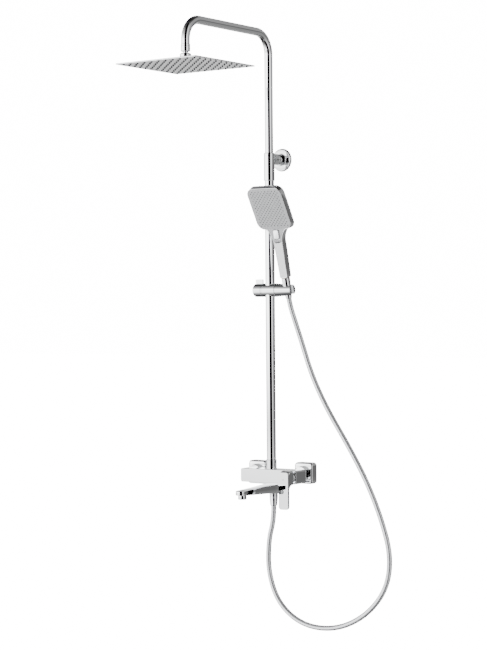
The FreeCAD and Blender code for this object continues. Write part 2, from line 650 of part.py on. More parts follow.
def make_slider():
    """The holder that slides on the riser, with its end cap and release button."""
    hub = ("0", "-riser_stand", "slider_level")
    blank = rod("slider_blank", "slider_d", "44", ("-20.8", "-riser_stand", "slider_level"), "X")
    spigot = rod("slider_spigot", "15.9", "17", ("23", "-riser_stand", "slider_level"), "X")
    bore = rod("slider_bore", "27.4", "60", ("0", "-riser_stand", "slider_level - 30"))
    tapping = rod("slider_tapping", "4", "16", ("26", "-riser_stand", "slider_level"), "X")
    keep(cut("slider", fuse("slider_solid", blank, spigot), bore, tapping), "slider_body")

    bush = turned("bush_blank", ring_profile("riser_d + 0.1", "27.3", "-18", "18"), hub)
    inside = rod("bush_inside", "slider_d - 0.4", "60", ("-30", "-riser_stand", "slider_level"),
                 "X")
    keep(common("bush", bush, inside), "slider_bush")

    cap = [("0", "27"), ("13", "27"), ("16.536", "25.536", "arc"), ("slider_d / 2", "22"),
           ("slider_d / 2", "0.4"), ("slider_d / 2 - 0.4", "0"), ("13.5", "0"), ("13.5", "22.5"),
           ("0", "22.5")]
    shell = turned("cap_shell", cap, ("-21", "-riser_stand", "slider_level"), "-X")
    slit = box("cap_slit", ("-45.6", "-riser_stand - 2.9", "slider_level"), ("23.5", "5.8", "40"))
    keep(cut("cap", shell, slit), "slider_end_cap")

    tab = [("-43", "7"), ("-22.6", "7"), ("-22.6", "27.5"), ("-24", "29.2"), ("-45.2", "29.2"),
           ("-45.2", "18.5"), ("-43", "18.5")]
    key = padded("key_tab", "XZ", tab, "5", ("0", "-riser_stand", "slider_level"), None, True)
    foot = box("key_foot", ("-43", "-riser_stand - 6", "slider_level + 4"), ("20", "12", "3"))
    keep(fuse("key", key, foot), "release_button")
    leaf = [("-43.2", "-4"), ("-42.2", "-4"), ("-33", "2.5"), ("-23", "-4"), ("-22", "-4"),
            ("-33", "3.7")]
    keep(padded("leaf", "XZ", leaf, "6", ("0", "-riser_stand", "slider_level"), None, True),
         "button_spring")


def make_cradle():
    """The turning end of the slider: a cone seat with a slot open at the end."""
    centre = ("hold_x", "-riser_stand", "slider_level")
    tilt = Rotation(Vector(1, 0, 0), number("hold_tilt"))
    blank = cone("cradle_blank", "34.6", "29.4", "48.5", ("23.5", "-riser_stand", "slider_level"),
                 "X")
    spigot = rod("cradle_bore", "16", "17", ("23.4", "-riser_stand", "slider_level"), "X")
    web_hole = rod("cradle_web_hole", "5", "20", ("30", "-riser_stand", "slider_level"), "X")
    head_room = rod("cradle_head_room", "9", "12", ("42", "-riser_stand", "slider_level"), "X")
    seat = turned("cradle_seat", [("0", "-30"), ("8.7", "-30"), ("12", "30"), ("0", "30")],
                  centre, None, tilt)
    slot = padded("cradle_slot", "XY", rectangle("0", "-7.6", "30", "7.6"), "60", centre, tilt,
                  True)
    keep(cut("cradle_cut", blank, spigot, web_hole, head_room, seat, slot), "cradle")
    screw = turned("screw_turn", [("0", "28"), ("1.95", "28"), ("1.95", "42.2"), ("4", "42.2"),
                                  ("4", "45"), ("0", "45")],
                   ("0", "-riser_stand", "slider_level"), "X")
    keep(screw, "cradle_screw")


# ---------------------------------------------------------------- hand shower

HANDSET_AT = ("hold_x", "-riser_stand", "slider_level")
HANDSET_TURN = Rotation(Vector(1, 0, 0), SIZES["hold_tilt"])


def handset_outline(inset):
    """Front view of the hand shower, drawn in by an inset all round."""
    wide = f"(handset_width / 2 - {inset})"
    top = f"(handset_top - {inset})"
    corner = 20 - inset
    soft = round(corner * (1 - math.sqrt(0.5)), 4)
    shoulder = 167 + inset
    neck = 14 - inset
    right = [
        (f"{12 - inset}", f"handle_low + {inset}"), (f"{neck}", "132"),
        (f"{neck + 4.2}", "152", "arc"), (f"{29 - inset}", f"{shoulder - 2}"),
        (f"{wide} - {corner}", f"{shoulder}"),
        (f"{wide} - {soft}", f"{shoulder + soft}", "arc"), (wide, f"{shoulder + corner}"),
        (wide, f"{top} - {corner}"), (f"{wide} - {soft}", f"{top} - {soft}", "arc"),
        (f"{wide} - {corner}", top),
    ]
    left = [(f"-({entry[0]})",) + entry[1:] for entry in reversed(right)]
    return right + left


def sloped(reach, off):
    """A (depth, height) corner on the head's face line, at a distance behind the face."""
    slope = math.radians(SIZES["face_tilt"])
    depth = -SIZES["handle_front"] - reach * math.sin(slope) + off * math.cos(slope)
    height = SIZES["face_low"] + reach * math.cos(slope) + off * math.sin(slope)
    return (f"{depth:.3f}", f"{height:.3f}")


def handset_pad(name, plane, points):
    depth = "130" if plane == "YZ" else "160"
    return padded(name, plane, points, depth, HANDSET_AT, HANDSET_TURN, True)


def make_handset():
    """The hand shower: back shell, face plate, nozzles, handle panel, button and inlet."""
    front = "-handle_front"
    whole = common("handset_whole", handset_pad("handset_front", "XZ", handset_outline(0)),
                   handset_pad("handset_side", "YZ", [
                       ("11.2", "handle_low"), ("11.2", "120"), ("7.6", "169", "arc"),
                       sloped(60, 18.5), sloped(119, 16.5), sloped(123.8, 12.5), sloped(123.8, 0),
                       (front, "face_low"), (front, "handle_low")]))
    face_slab = handset_pad("face_slab", "YZ", [
        (front, "128.5"), ("-handle_front + 3", "128.5"), ("-handle_front + 3", "face_low"),
        sloped(130, 3), sloped(130, -0.5), (f"{front} - 0.5", "face_low"),
        (f"{front} - 0.5", "128.5")])
    panel_slab = handset_pad("panel_slab", "YZ", rectangle("-handle_front - 0.5", "37",
                                                           "-handle_front + 2", "128"))
    inner = handset_outline(1.6)
    face = common("face_piece", handset_pad("face_outline", "XZ", inner), face_slab, whole)
    panel = common("panel_piece", handset_pad("panel_outline", "XZ", handset_outline(1.2)),
                   panel_slab, whole)
    cavity = common("cavity", handset_pad("cavity_front", "XZ", handset_outline(5)),
                    handset_pad("cavity_side", "YZ", [
                        ("7", "40"), ("7.5", "120"), sloped(10, 13.5), sloped(114, 13),
                        sloped(114, 5), sloped(0, 5.5), ("-4.5", "130"), ("-5", "40")]))
    well = handset_pad("button_well", "XZ", rectangle("-9.9", "139.2", "9.9", "167.4"))
    front_half = handset_pad("front_half", "YZ", rectangle("-20", "100", "-3", "168"))
    well_cut = common("well_cut", well, front_half)
    inlet_hole = turned("inlet_hole", [("0", "28"), ("7.1", "28"), ("7.1", "53"), ("0", "53")],
                        HANDSET_AT, None, HANDSET_TURN)
    keep(cut("handset_shell_cut", whole, face, panel, cavity, well_cut, inlet_hole),
         "handset_shell")
    keep(cut("face_cut", face, well), "handset_face_plate")
    keep(panel, "handset_handle_panel")

    key = padded("mode_key", "XZ", rectangle("-9.4", "139.7", "9.4", "166.9"), "9",
                 HANDSET_AT, HANDSET_TURN)
    rounded(key, "4.5", lambda edge: runs_along(edge, "Y"))
    lift = HANDSET_TURN.multVec(Vector(0, -4.2, 0))
    place(key, ("hold_x", f"-riser_stand + {lift.y:.4f}", f"slider_level + {lift.z:.4f}"),
          HANDSET_TURN)
    keep(key, "mode_button")

    nipple = turned("nipple", [("4.5", "20.5"), ("hose_thread_d / 2", "20.5"),
                               ("hose_thread_d / 2", "34.4"), ("7", "34.4"), ("7", "49"),
                               ("4.5", "49")], HANDSET_AT, None, HANDSET_TURN)
    keep(nipple, "handset_inlet")
    make_handset_nozzles()


def make_handset_nozzles():
    """Staggered rows of small rubber nozzles standing on the face plate."""
    frame = Placement(point(HANDSET_AT), HANDSET_TURN)
    slope = math.radians(SIZES["face_tilt"])
    outward = Vector(0, -math.cos(slope), -math.sin(slope))
    along = Vector(0, -math.sin(slope), math.cos(slope))
    start = Vector(0, -SIZES["handle_front"], SIZES["face_low"])
    pips = []
    for line in range(20):
        shift = 2.6 * (line % 2)
        for column in range(-4, 5):
            if line % 2 and column == 4:
                continue
            spot = start + along * (9 + line * 5.3) + Vector(column * 10.4 + 2 * shift, 0, 0)
            pips.append(Part.makeCone(1.3, 0.9, 1.0, spot, outward))
    group = doc.addObject("Part::Feature", "handset_pips")
    group.Shape = Part.makeCompound(pips)
    group.Placement = frame
    keep(group, "handset_nozzles")


# ---------------------------------------------------------------- hose

def make_hose_nuts():
    at = ("outlet_x", "-outlet_stand", "0")
    lower = [("hose_thread_d / 2 + 0.05", "-53.8"), ("10.9", "-53.8"), ("11.3", "-54.4"),
             ("11.3", "-64"), ("9.4", "-84"), ("9", "-86.5"), ("3.5", "-86.5"), ("3.5", "-66.2"),
             ("hose_thread_d / 2 + 0.05", "-66.2")]
    keep(turned("lower_nut", lower, at), "hose_nut_lower")
    upper = [("hose_thread_d / 2 + 0.05", "34.1"), ("10.9", "34.1"), ("11.3", "33.5"),
             ("11.2", "20"), ("8.5", "-21.6"), ("8.2", "-22"), ("3.5", "-22"), ("3.5", "18.3"),
             ("hose_thread_d / 2 + 0.05", "18.3")]
    keep(turned("upper_nut", upper, HANDSET_AT, None, HANDSET_TURN), "hose_nut_upper")
    washers = [
        (turned("low_washer", ring_profile("10", "18", "-66.1", "-64.1"), at),
         "hose_washer_lower"),
        (turned("high_washer", ring_profile("10", "18", "18.4", "20.4"), HANDSET_AT, None,
                HANDSET_TURN), "hose_washer_upper"),
    ]
    for washer, label in washers:
        keep(washer, label)


def make_hose():
    """Straight runs joined by tangent arcs, each as large as its two runs allow."""
    points = [Vector(*entry) for entry in HOSE_ROUTE]
    edges = []
    radii = []
    start = points[0]
    for before, corner, after in zip(points, points[1:], points[2:]):
        inward = (corner - before).normalize()
        outward = (after - corner).normalize()
        half_turn = inward.getAngle(outward) / 2
        trim = 0.45 * min(before.distanceToPoint(corner), corner.distanceToPoint(after))
        radii.append(trim / math.tan(half_turn))
        leave = corner - inward * trim
        join = corner + outward * trim
        depth = radii[-1] * (1 / math.cos(half_turn) - 1)
        middle = corner + (outward - inward).normalize() * depth
        edges.append(Part.LineSegment(start, leave).toShape())
        edges.append(Part.Arc(leave, middle, join).toShape())
        start = join
    edges.append(Part.LineSegment(start, points[-1]).toShape())
    path = Part.Wire(edges)
    section = Part.Wire([Part.Circle(points[0], points[1] - points[0],
                                     number("hose_d / 2")).toShape()])
    tube = path.makePipeShell([section], True, False)
    expected = math.pi * number("hose_d / 2") ** 2 * path.Length
    print("hose length", round(path.Length, 1), "volume ratio",
          round(tube.Volume / expected, 4), "radii", [round(radius) for radius in radii])
    hose = doc.addObject("Part::Feature", "hose")
    hose.Shape = tube
    keep(hose, "hose_tube")


# ---------------------------------------------------------------- build and write

for maker in (make_inlets, make_mixer_body, make_cartridge, make_lever, make_outlet, make_spout,
              make_riser, make_bracket, make_arm, make_head, make_slider, make_cradle,
              make_handset, make_hose_nuts, make_hose):
    maker()
doc.recompute()

failed = [thing.Name for thing in doc.Objects
          if "Invalid" in thing.State or "Error" in thing.State]
if failed:
    raise RuntimeError(f"these objects failed: {failed}")
os.makedirs("parts", exist_ok=True)
for piece in PIECES:
    shape = piece.Shape
    if shape.isNull() or not shape.isValid() or not shape.Solids:
        raise RuntimeError(f"{piece.Label} has no valid solid")
    shape.exportStep(os.path.join("parts", piece.Label + ".step"))
print(len(PIECES), "sub-parts written")
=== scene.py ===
import json
import math

import bmesh
import bpy
from mathutils import Matrix, Vector


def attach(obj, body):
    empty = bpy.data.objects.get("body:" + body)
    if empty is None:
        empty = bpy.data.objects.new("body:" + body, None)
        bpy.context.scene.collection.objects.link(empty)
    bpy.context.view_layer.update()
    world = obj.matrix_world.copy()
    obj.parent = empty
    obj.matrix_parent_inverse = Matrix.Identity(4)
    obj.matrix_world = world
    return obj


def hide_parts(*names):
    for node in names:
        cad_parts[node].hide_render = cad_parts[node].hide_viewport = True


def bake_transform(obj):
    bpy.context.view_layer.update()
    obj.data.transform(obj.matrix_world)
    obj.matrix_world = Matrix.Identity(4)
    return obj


# Rainfall shower column: chromed brass mixer, riser, overhead arm with a square rain
# head, and a hand shower on a sliding holder. Metres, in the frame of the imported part.

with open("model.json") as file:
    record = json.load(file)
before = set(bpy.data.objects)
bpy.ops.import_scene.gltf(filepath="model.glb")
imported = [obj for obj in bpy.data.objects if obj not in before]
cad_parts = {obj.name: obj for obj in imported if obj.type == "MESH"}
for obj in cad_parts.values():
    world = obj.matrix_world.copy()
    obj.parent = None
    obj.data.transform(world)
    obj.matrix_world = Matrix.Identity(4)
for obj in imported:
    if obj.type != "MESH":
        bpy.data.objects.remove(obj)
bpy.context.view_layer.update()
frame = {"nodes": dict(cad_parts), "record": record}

X = Vector((1, 0, 0))
Y = Vector((0, 1, 0))
Z = Vector((0, 0, 1))
AXES = {"X": (Y, X), "-X": (Y, -X), "Y": (X, Y), "-Y": (X, -Y), "Z": (X, Z), "-Z": (X, -Z)}
RISER = Vector((0, -0.062, 0))
DROP = Vector((0, -0.428, 0))


# ---------------------------------------------------------------- camera

CAMERA_AT = (2.83345, -4.17882, 0.43916)
VIEW_TURN = 0.6172
VIEW_DOWN = 0.0087
VIEW_ROLL = -0.0077
camera_data = bpy.data.cameras.new("camera")
camera_data.lens = 103.8
camera_data.sensor_width = 36
camera_data.clip_end = 60
camera = bpy.data.objects.new("camera", camera_data)
camera.matrix_world = (Matrix.Translation(CAMERA_AT)
                       @ Matrix.Rotation(VIEW_TURN, 4, "Z")
                       @ Matrix.Rotation(math.pi / 2 - VIEW_DOWN, 4, "X")
                       @ Matrix.Rotation(VIEW_ROLL, 4, "Z"))
bpy.context.scene.collection.objects.link(camera)
bpy.context.scene.camera = camera


# ---------------------------------------------------------------- modelling helpers

def fresh():
    """Back to object mode with nothing selected."""
    if bpy.context.object and bpy.context.object.mode != "OBJECT":
        bpy.ops.object.mode_set(mode="OBJECT")
    bpy.ops.object.select_all(action="DESELECT")


def editing(piece):
    """Open a piece in edit mode with everything selected."""
    fresh()
    bpy.context.view_layer.objects.active = piece
    piece.select_set(True)
    bpy.ops.object.mode_set(mode="EDIT")
    bpy.ops.mesh.select_all(action="SELECT")


def pick_edges(piece, test):
    """Select the edges whose middle and direction a test accepts."""
    bpy.ops.mesh.select_mode(type="EDGE")
    bpy.ops.mesh.select_all(action="DESELECT")
    shape = bmesh.from_edit_mesh(piece.data)
    for edge in shape.edges:
        middle = piece.matrix_world @ ((edge.verts[0].co + edge.verts[1].co) / 2)
        span = (edge.verts[1].co - edge.verts[0].co).normalized()
        edge.select_set(bool(test(middle, span, edge)))
    bmesh.update_edit_mesh(piece.data)


def pick_faces(piece, test):
    """Select the faces whose middle and normal a test accepts."""
    bpy.ops.mesh.select_mode(type="FACE")
    bpy.ops.mesh.select_all(action="DESELECT")
    shape = bmesh.from_edit_mesh(piece.data)
    for face in shape.faces:
        face.select_set(bool(test(piece.matrix_world @ face.calc_center_median(), face.normal)))
    bmesh.update_edit_mesh(piece.data)


def settled(piece):
    """Close an edit: merge doubles, turn the faces outward and put the origin at zero."""
    bpy.ops.mesh.select_mode(type="VERT")
    bpy.ops.mesh.select_all(action="SELECT")
    bpy.ops.mesh.remove_doubles(threshold=0.000002)
    bpy.ops.mesh.normals_make_consistent(inside=False)
    bpy.ops.object.mode_set(mode="OBJECT")
    bpy.ops.object.transform_apply(location=True, rotation=True, scale=True)
    return piece


def start_point(name, at):
    """A plane shrunk to one selected point, ready to be extruded."""
    fresh()
    bpy.ops.mesh.primitive_plane_add(size=0.001, location=at)
    piece = bpy.context.object
    piece.name = name
    bpy.ops.object.mode_set(mode="EDIT")
    bpy.ops.mesh.select_mode(type="VERT")
    bpy.ops.mesh.select_all(action="SELECT")
    bpy.ops.mesh.merge(type="CENTER")
    return piece


def follow(steps):
    """Extrude the selected point along a list of moves."""
    for step in steps:
        bpy.ops.mesh.extrude_vertices_move(TRANSFORM_OT_translate={"value": step})


def lathed(name, profile, at=(0, 0, 0), axis="Z", steps=72, closed=False):
    """Spin a profile of (radius, height) corners about an axis."""
    out, up = AXES[axis]
    corners = [Vector(at) + out * radius + up * height for radius, height in profile]
    if closed:
        corners.append(corners[0])
    piece = start_point(name, corners[0])
    follow([after - before for before, after in zip(corners, corners[1:])])
    bpy.ops.mesh.select_all(action="SELECT")
    bpy.ops.mesh.spin(steps=steps, angle=math.tau, center=at, axis=up)
    return settled(piece)


def slab(name, corners, push):
    """Trace a flat outline, fill it and extrude it."""
    corners = [Vector(corner) for corner in corners]
    piece = start_point(name, corners[0])
    follow([after - before for before, after in zip(corners, corners[1:])])
    bpy.ops.mesh.select_all(action="SELECT")
    bpy.ops.mesh.edge_face_add()
    bpy.ops.mesh.select_all(action="SELECT")
    bpy.ops.mesh.extrude_region_move(TRANSFORM_OT_translate={"value": push})
    return settled(piece)


def block(name, low, high):
    """A plain box between two corners, ready for edge work."""
    low, high = Vector(low), Vector(high)
    fresh()
    bpy.ops.mesh.primitive_cube_add(size=1, location=(low + high) / 2, scale=high - low)
    piece = bpy.context.object
    piece.name = name
    bpy.ops.object.transform_apply(location=True, rotation=True, scale=True)
    return piece


def bevelled(piece, width, segments, test):
    """Round the edges that a test accepts."""
    editing(piece)
    pick_edges(piece, test)
    bpy.ops.mesh.bevel(offset=width, segments=segments, affect="EDGES", clamp_overlap=True,
                       loop_slide=False)
    return settled(piece)


def with_modifier(piece, kind, **settings):
    """Add a modifier, set it and apply it."""
    fresh()
    bpy.context.view_layer.objects.active = piece
    piece.select_set(True)
    modifier = piece.modifiers.new(kind.lower(), kind)
    for name, value in settings.items():
        setattr(modifier, name, value)
    bpy.ops.object.modifier_apply(modifier=modifier.name)
    return piece


def carved(piece, *tools):
    """Cut tools out of a piece and throw the tools away."""
    for tool in tools:
        with_modifier(piece, "BOOLEAN", operation="DIFFERENCE", solver="EXACT", object=tool)
        bpy.data.objects.remove(tool)
    return piece


def merged(piece, *others):
    """Join others into a piece as one closed shape."""
    for other in others:
        with_modifier(piece, "BOOLEAN", operation="UNION", solver="EXACT", object=other)
        bpy.data.objects.remove(other)
    return piece


def joined(piece, *others):
    """Put several loose shapes into one piece."""
    fresh()
    for other in others:
        other.select_set(True)
    piece.select_set(True)
    bpy.context.view_layer.objects.active = piece
    bpy.ops.object.join()
    return piece


def placed(piece, spot):
    """Move and turn a piece, then put its origin back at zero."""
    fresh()
    bpy.context.view_layer.objects.active = piece
    piece.select_set(True)
    piece.matrix_world = spot
    bpy.ops.object.transform_apply(location=True, rotation=True, scale=True)
    return piece


def done(piece, finish, body, nodes, edge=0.0003, smooth=35):
    """Soften the edges, give the finish, and hang the piece on its body."""
    if edge:
        with_modifier(piece, "BEVEL", width=edge, segments=2, limit_method="ANGLE",
                      angle_limit=math.radians(32), miter_outer="MITER_ARC",
                      use_clamp_overlap=True)
    fresh()
    bpy.context.view_layer.objects.active = piece
    piece.select_set(True)
    bpy.ops.object.shade_smooth_by_angle(angle=math.radians(smooth))
    if edge:
        with_modifier(piece, "WEIGHTED_NORMAL", keep_sharp=True, weight=80)
    material, slot = finish
    piece.data.materials.clear()
    piece.data.materials.append(material)
    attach(piece, body)
    if nodes:
        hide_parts(*nodes)
    return piece


# ---------------------------------------------------------------- finishes

def new_material(name):
    material = bpy.data.materials.new(name)
    material.use_nodes = True
    tree = material.node_tree
    return material, tree, tree.nodes["Principled BSDF"]


def object_place(tree):
    return tree.nodes.new("ShaderNodeTexCoord").outputs["Object"]


def grain(tree, where, scale, detail=3, stretch=None):
    """A noise over the surface, stretched along an axis if asked."""
    noise = tree.nodes.new("ShaderNodeTexNoise")
    noise.inputs["Scale"].default_value = scale
    noise.inputs["Detail"].default_value = detail
    if stretch:
        mapping = tree.nodes.new("ShaderNodeMapping")
        mapping.inputs["Scale"].default_value = stretch
        tree.links.new(where, mapping.inputs["Vector"])
        where = mapping.outputs["Vector"]
    tree.links.new(where, noise.inputs["Vector"])
    return noise.outputs["Fac"]


def ranged(tree, value, low, high, start=0.3, end=0.7):
    """Map a grey value to a range."""
    ranger = tree.nodes.new("ShaderNodeMapRange")
    ranger.inputs["From Min"].default_value = start
    ranger.inputs["From Max"].default_value = end
    ranger.inputs["To Min"].default_value = low
    ranger.inputs["To Max"].default_value = high
    tree.links.new(value, ranger.inputs["Value"])
    return ranger.outputs["Result"]


def tinted(tree, value, first, second):
    """Blend two colours by a grey value."""
    ramp = tree.nodes.new("ShaderNodeValToRGB")
    ramp.color_ramp.elements[0].position = 0.3
    ramp.color_ramp.elements[0].color = (*first, 1)
    ramp.color_ramp.elements[1].position = 0.7
    ramp.color_ramp.elements[1].color = (*second, 1)
    tree.links.new(value, ramp.inputs["Fac"])
    return ramp.outputs["Color"]


def bumped(tree, shader, value, distance, strength=0.3):
    bump = tree.nodes.new("ShaderNodeBump")
    bump.inputs["Strength"].default_value = strength
    bump.inputs["Distance"].default_value = distance
    tree.links.new(value, bump.inputs["Height"])
    tree.links.new(bump.outputs["Normal"], shader.inputs["Normal"])


def chrome_finish(name, light, shade, smooth, dull):
    """Bright plating: nearly even, with faint wipe marks in its gloss."""
    material, tree, shader = new_material(name)
    where = object_place(tree)
    shader.inputs["Metallic"].default_value = 1
    cloud = grain(tree, where, 9, 4)
    tree.links.new(tinted(tree, cloud, shade, light), shader.inputs["Base Color"])
    wipe = grain(tree, where, 60, 5, (1, 1, 0.25))
    tree.links.new(ranged(tree, wipe, smooth, dull), shader.inputs["Roughness"])
    bumped(tree, shader, grain(tree, where, 38, 2), 0.00002, 0.1)
    return material


def brushed_finish(name, light, shade, scale, stretch, smooth, dull):
    """Metal with fine lines along one way."""
    material, tree, shader = new_material(name)
    where = object_place(tree)
    shader.inputs["Metallic"].default_value = 1
    lines = grain(tree, where, scale, 4, stretch)
    tree.links.new(tinted(tree, lines, shade, light), shader.inputs["Base Color"])
    tree.links.new(ranged(tree, lines, smooth, dull), shader.inputs["Roughness"])
    bumped(tree, shader, lines, 0.00004, 0.25)
    return material


def moulded_finish(name, light, shade, scale, smooth, dull, coat=0.0, relief=0.00004):
    """Moulded plastic or rubber with a fine skin."""
    material, tree, shader = new_material(name)
    where = object_place(tree)
    cloud = grain(tree, where, scale, 5)
    tree.links.new(tinted(tree, cloud, shade, light), shader.inputs["Base Color"])
    tree.links.new(ranged(tree, cloud, smooth, dull), shader.inputs["Roughness"])
    if coat:
        shader.inputs["Coat Weight"].default_value = coat
        shader.inputs["Coat Roughness"].default_value = 0.08
    bumped(tree, shader, grain(tree, where, scale * 6, 2), relief, 0.3)
    return material


def hose_finish():
    """Silver sleeve under a clear skin: fine lengthwise strands."""
    material, tree, shader = new_material("silver_hose")
    where = tree.nodes.new("ShaderNodeUVMap").outputs["UV"]
    strands = grain(tree, where, 1, 3, (0.6, 44, 1))
    tree.links.new(tinted(tree, strands, (0.42, 0.43, 0.45), (0.86, 0.87, 0.89)),
                   shader.inputs["Base Color"])
    shader.inputs["Metallic"].default_value = 0.85
    tree.links.new(ranged(tree, strands, 0.16, 0.3), shader.inputs["Roughness"])
    shader.inputs["Coat Weight"].default_value = 0.6
    shader.inputs["Coat Roughness"].default_value = 0.06
    bumped(tree, shader, strands, 0.0001, 0.3)
    return material


CHROME = (chrome_finish("polished_chrome", (0.93, 0.94, 0.95), (0.9, 0.91, 0.92),
                        0.02, 0.04), "chrome")
PLATED = (chrome_finish("plated_plastic_chrome", (0.91, 0.92, 0.935), (0.88, 0.89, 0.9),
                        0.03, 0.06), "plated_plastic")
BRIGHT_STEEL = (brushed_finish("polished_steel_sheet", (0.82, 0.83, 0.84), (0.74, 0.75, 0.76),
                               220, (1, 0.05, 1), 0.16, 0.26), "head_steel")
STEEL = (brushed_finish("turned_steel", (0.66, 0.66, 0.67), (0.5, 0.5, 0.51), 400,
                        (1, 1, 0.1), 0.22, 0.36), "steel")
BRASS = (brushed_finish("machined_brass", (0.78, 0.63, 0.36), (0.62, 0.48, 0.25), 300,
                        (1, 1, 0.1), 0.2, 0.34), "brass")
RUBBER = (moulded_finish("black_rubber", (0.05, 0.05, 0.05), (0.025, 0.025, 0.026), 160,
                         0.5, 0.7), "rubber")
NOZZLE_RUBBER = (moulded_finish("dark_silicone", (0.075, 0.078, 0.082), (0.04, 0.042, 0.045),
                                300, 0.38, 0.52), "dark_rubber")
WHITE_PLASTIC = (moulded_finish("white_engineering_plastic", (0.8, 0.8, 0.78),
                                (0.7, 0.7, 0.68), 120, 0.34, 0.5), "white_plastic")
GREY_PLASTIC = (moulded_finish("grey_insert_plastic", (0.3, 0.31, 0.32), (0.22, 0.225, 0.23),
                               200, 0.4, 0.55), "grey_plastic")
FACE_GREY = (moulded_finish("satin_face_grey", (0.42, 0.425, 0.435), (0.38, 0.385, 0.395), 90,
                            0.3, 0.42, 0.2), "face_grey")
PIP_GREY = (moulded_finish("grey_silicone", (0.08, 0.082, 0.086), (0.055, 0.057, 0.06), 300,
                           0.4, 0.55), "nozzle_grey")
PANEL_WHITE = (moulded_finish("gloss_panel_white", (0.88, 0.885, 0.9), (0.83, 0.84, 0.855),
                              60, 0.12, 0.2, 0.5, 0.00002), "panel_white")
DOT = (moulded_finish("dot_grey", (0.3, 0.31, 0.33), (0.24, 0.25, 0.27), 400, 0.25, 0.4),
       "indicator")
HOSE = (hose_finish(), "hose_silver")


# ---------------------------------------------------------------- hose

HOSE_ROUTE = [
    (0.056, -0.0561, 0.4667), (0.056, -0.0506, 0.4466), (0.066, -0.042, 0.404),
    (0.084, -0.038, 0.349), (0.116, -0.040, 0.262), (0.166, -0.045, 0.175),
    (0.237, -0.051, 0.078), (0.296, -0.055, -0.014), (0.340, -0.058, -0.108),
    (0.367, -0.060, -0.196), (0.356, -0.062, -0.281), (0.295, -0.063, -0.355),
    (0.202, -0.063, -0.400), (0.098, -0.062, -0.399), (0.020, -0.061, -0.349),
    (-0.014, -0.060, -0.267), (-0.012, -0.060, -0.178), (0.005, -0.060, -0.124),
    (0.005, -0.060, -0.0865),
]


def hose_curve(name, thick):
    """The route as a smooth spline, bare or with the hose's thickness."""
    curve = bpy.data.curves.new(name, "CURVE")
    curve.dimensions = "3D"
    curve.resolution_u = 14
    spline = curve.splines.new("NURBS")
    spline.points.add(len(HOSE_ROUTE) - 1)
    for knot, at in zip(spline.points, HOSE_ROUTE):
        knot.co = (*at, 1)
    spline.order_u = 3
    spline.use_endpoint_u = True
    if thick:
        curve.bevel_depth = 0.007
        curve.bevel_resolution = 8
        curve.use_fill_caps = True
    line = bpy.data.objects.new(name, curve)
    bpy.context.scene.collection.objects.link(line)
    return line


def make_hose():
    """One smooth tube that bends between the column and the slider that carries its top."""
    bare = hose_curve("hose_line", False)
    sampled = bpy.data.meshes.new_from_object(bare)
    path = [tuple(vertex.co) for vertex in sampled.vertices]
    bpy.data.objects.remove(bare)
    fresh()
    hose = hose_curve("hose", True)
    bpy.context.view_layer.objects.active = hose
    hose.select_set(True)
    bpy.ops.object.convert(target="MESH")
    hose = bpy.context.object
    fresh()
    hose.select_set(True)
    bpy.context.view_layer.objects.active = hose
    bpy.ops.object.shade_smooth_by_angle(angle=math.radians(40))
    hose.data.materials.clear()
    hose.data.materials.append(HOSE[0])
    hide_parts("hose_tube")
    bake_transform(hose)
    return hose, path


hose, hose_path = make_hose()


# ---------------------------------------------------------------- riser, arm and bracket

def make_riser():
    tube = lathed("riser_tube", [
        (0.0113, 0.0272), (0.01245, 0.0272), (0.0125, 0.0276), (0.0125, 0.2), (0.0125, 0.4),
        (0.0125, 0.6), (0.0125, 0.8146), (0.0122, 0.815), (0.0113, 0.815)],
        RISER, closed=True)
    done(tube, CHROME, "column", ["riser_lower_tube"], 0)
    collar = lathed("riser_collar", [
        (0.0124, 0.0118), (0.0131, 0.0118), (0.014, 0.0128), (0.014, 0.0345),
        (0.0138, 0.0347), (0.0138, 0.0351), (0.014, 0.0353), (0.014, 0.0361),
        (0.0134, 0.0368), (0.0127, 0.0368), (0.0126, 0.0364), (0.0126, 0.0273),
        (0.0131, 0.0273), (0.0131, 0.024), (0.0124, 0.024)], RISER, closed=True)
    done(collar, CHROME, "column", ["riser_collar_nut"], 0.00015)
    sleeve = lathed("riser_sleeve", [
        (0.01255, 0.779), (0.0131, 0.779), (0.0136, 0.7794), (0.0142, 0.7814),
        (0.0142, 0.8511), (0.0137, 0.8527), (0.0128, 0.8535), (0.0115, 0.8535),
        (0.01105, 0.8531), (0.01105, 0.8185), (0.01, 0.8185), (0.01, 0.8155),
        (0.01255, 0.8155)], RISER, closed=True)
    hole = lathed("hole", [(0, 0.01), (0.002, 0.01), (0.002, 0.03), (0, 0.03)],
                  RISER + Z * 0.796, "Y", 24)
    done(carved(sleeve, hole), CHROME, "column", ["riser_sleeve"], 0.00015)


def make_bracket():
    middle = Vector((0, 0, 0.838))
    stem = lathed("stem", [(0, 0.0289), (0.0146, 0.0289), (0.015, 0.0292), (0.015, 0.0345),
                           (0.0147, 0.0348), (0.0147, 0.0354), (0.015, 0.0357),
                           (0.015, 0.0495), (0, 0.0495)], middle, "-Y")
    saddle = lathed("saddle", [(0, -0.03), (0.01422, -0.03), (0.01422, 0.03), (0, 0.03)],
                    RISER + Z * 0.838)
    done(carved(stem, saddle), CHROME, "column", ["bracket_stem"], 0.0002)
    flange = lathed("flange", [
        (0, 0.0287), (0.0142, 0.0287), (0.0149, 0.0279), (0.0149, 0.0082), (0.0153, 0.0071),
        (0.0164, 0.0064), (0.0195, 0.0061), (0.0265, 0.0057), (0.0288, 0.005),
        (0.0303, 0.0037), (0.0309, 0.002), (0.031, 0.0002), (0.029, 0.0002),
        (0.029, 0.002), (0.013, 0.0034), (0.013, 0.024), (0, 0.024)], middle, "-Y", 96)
    done(flange, CHROME, "column", ["bracket_flange"], 0.00015)


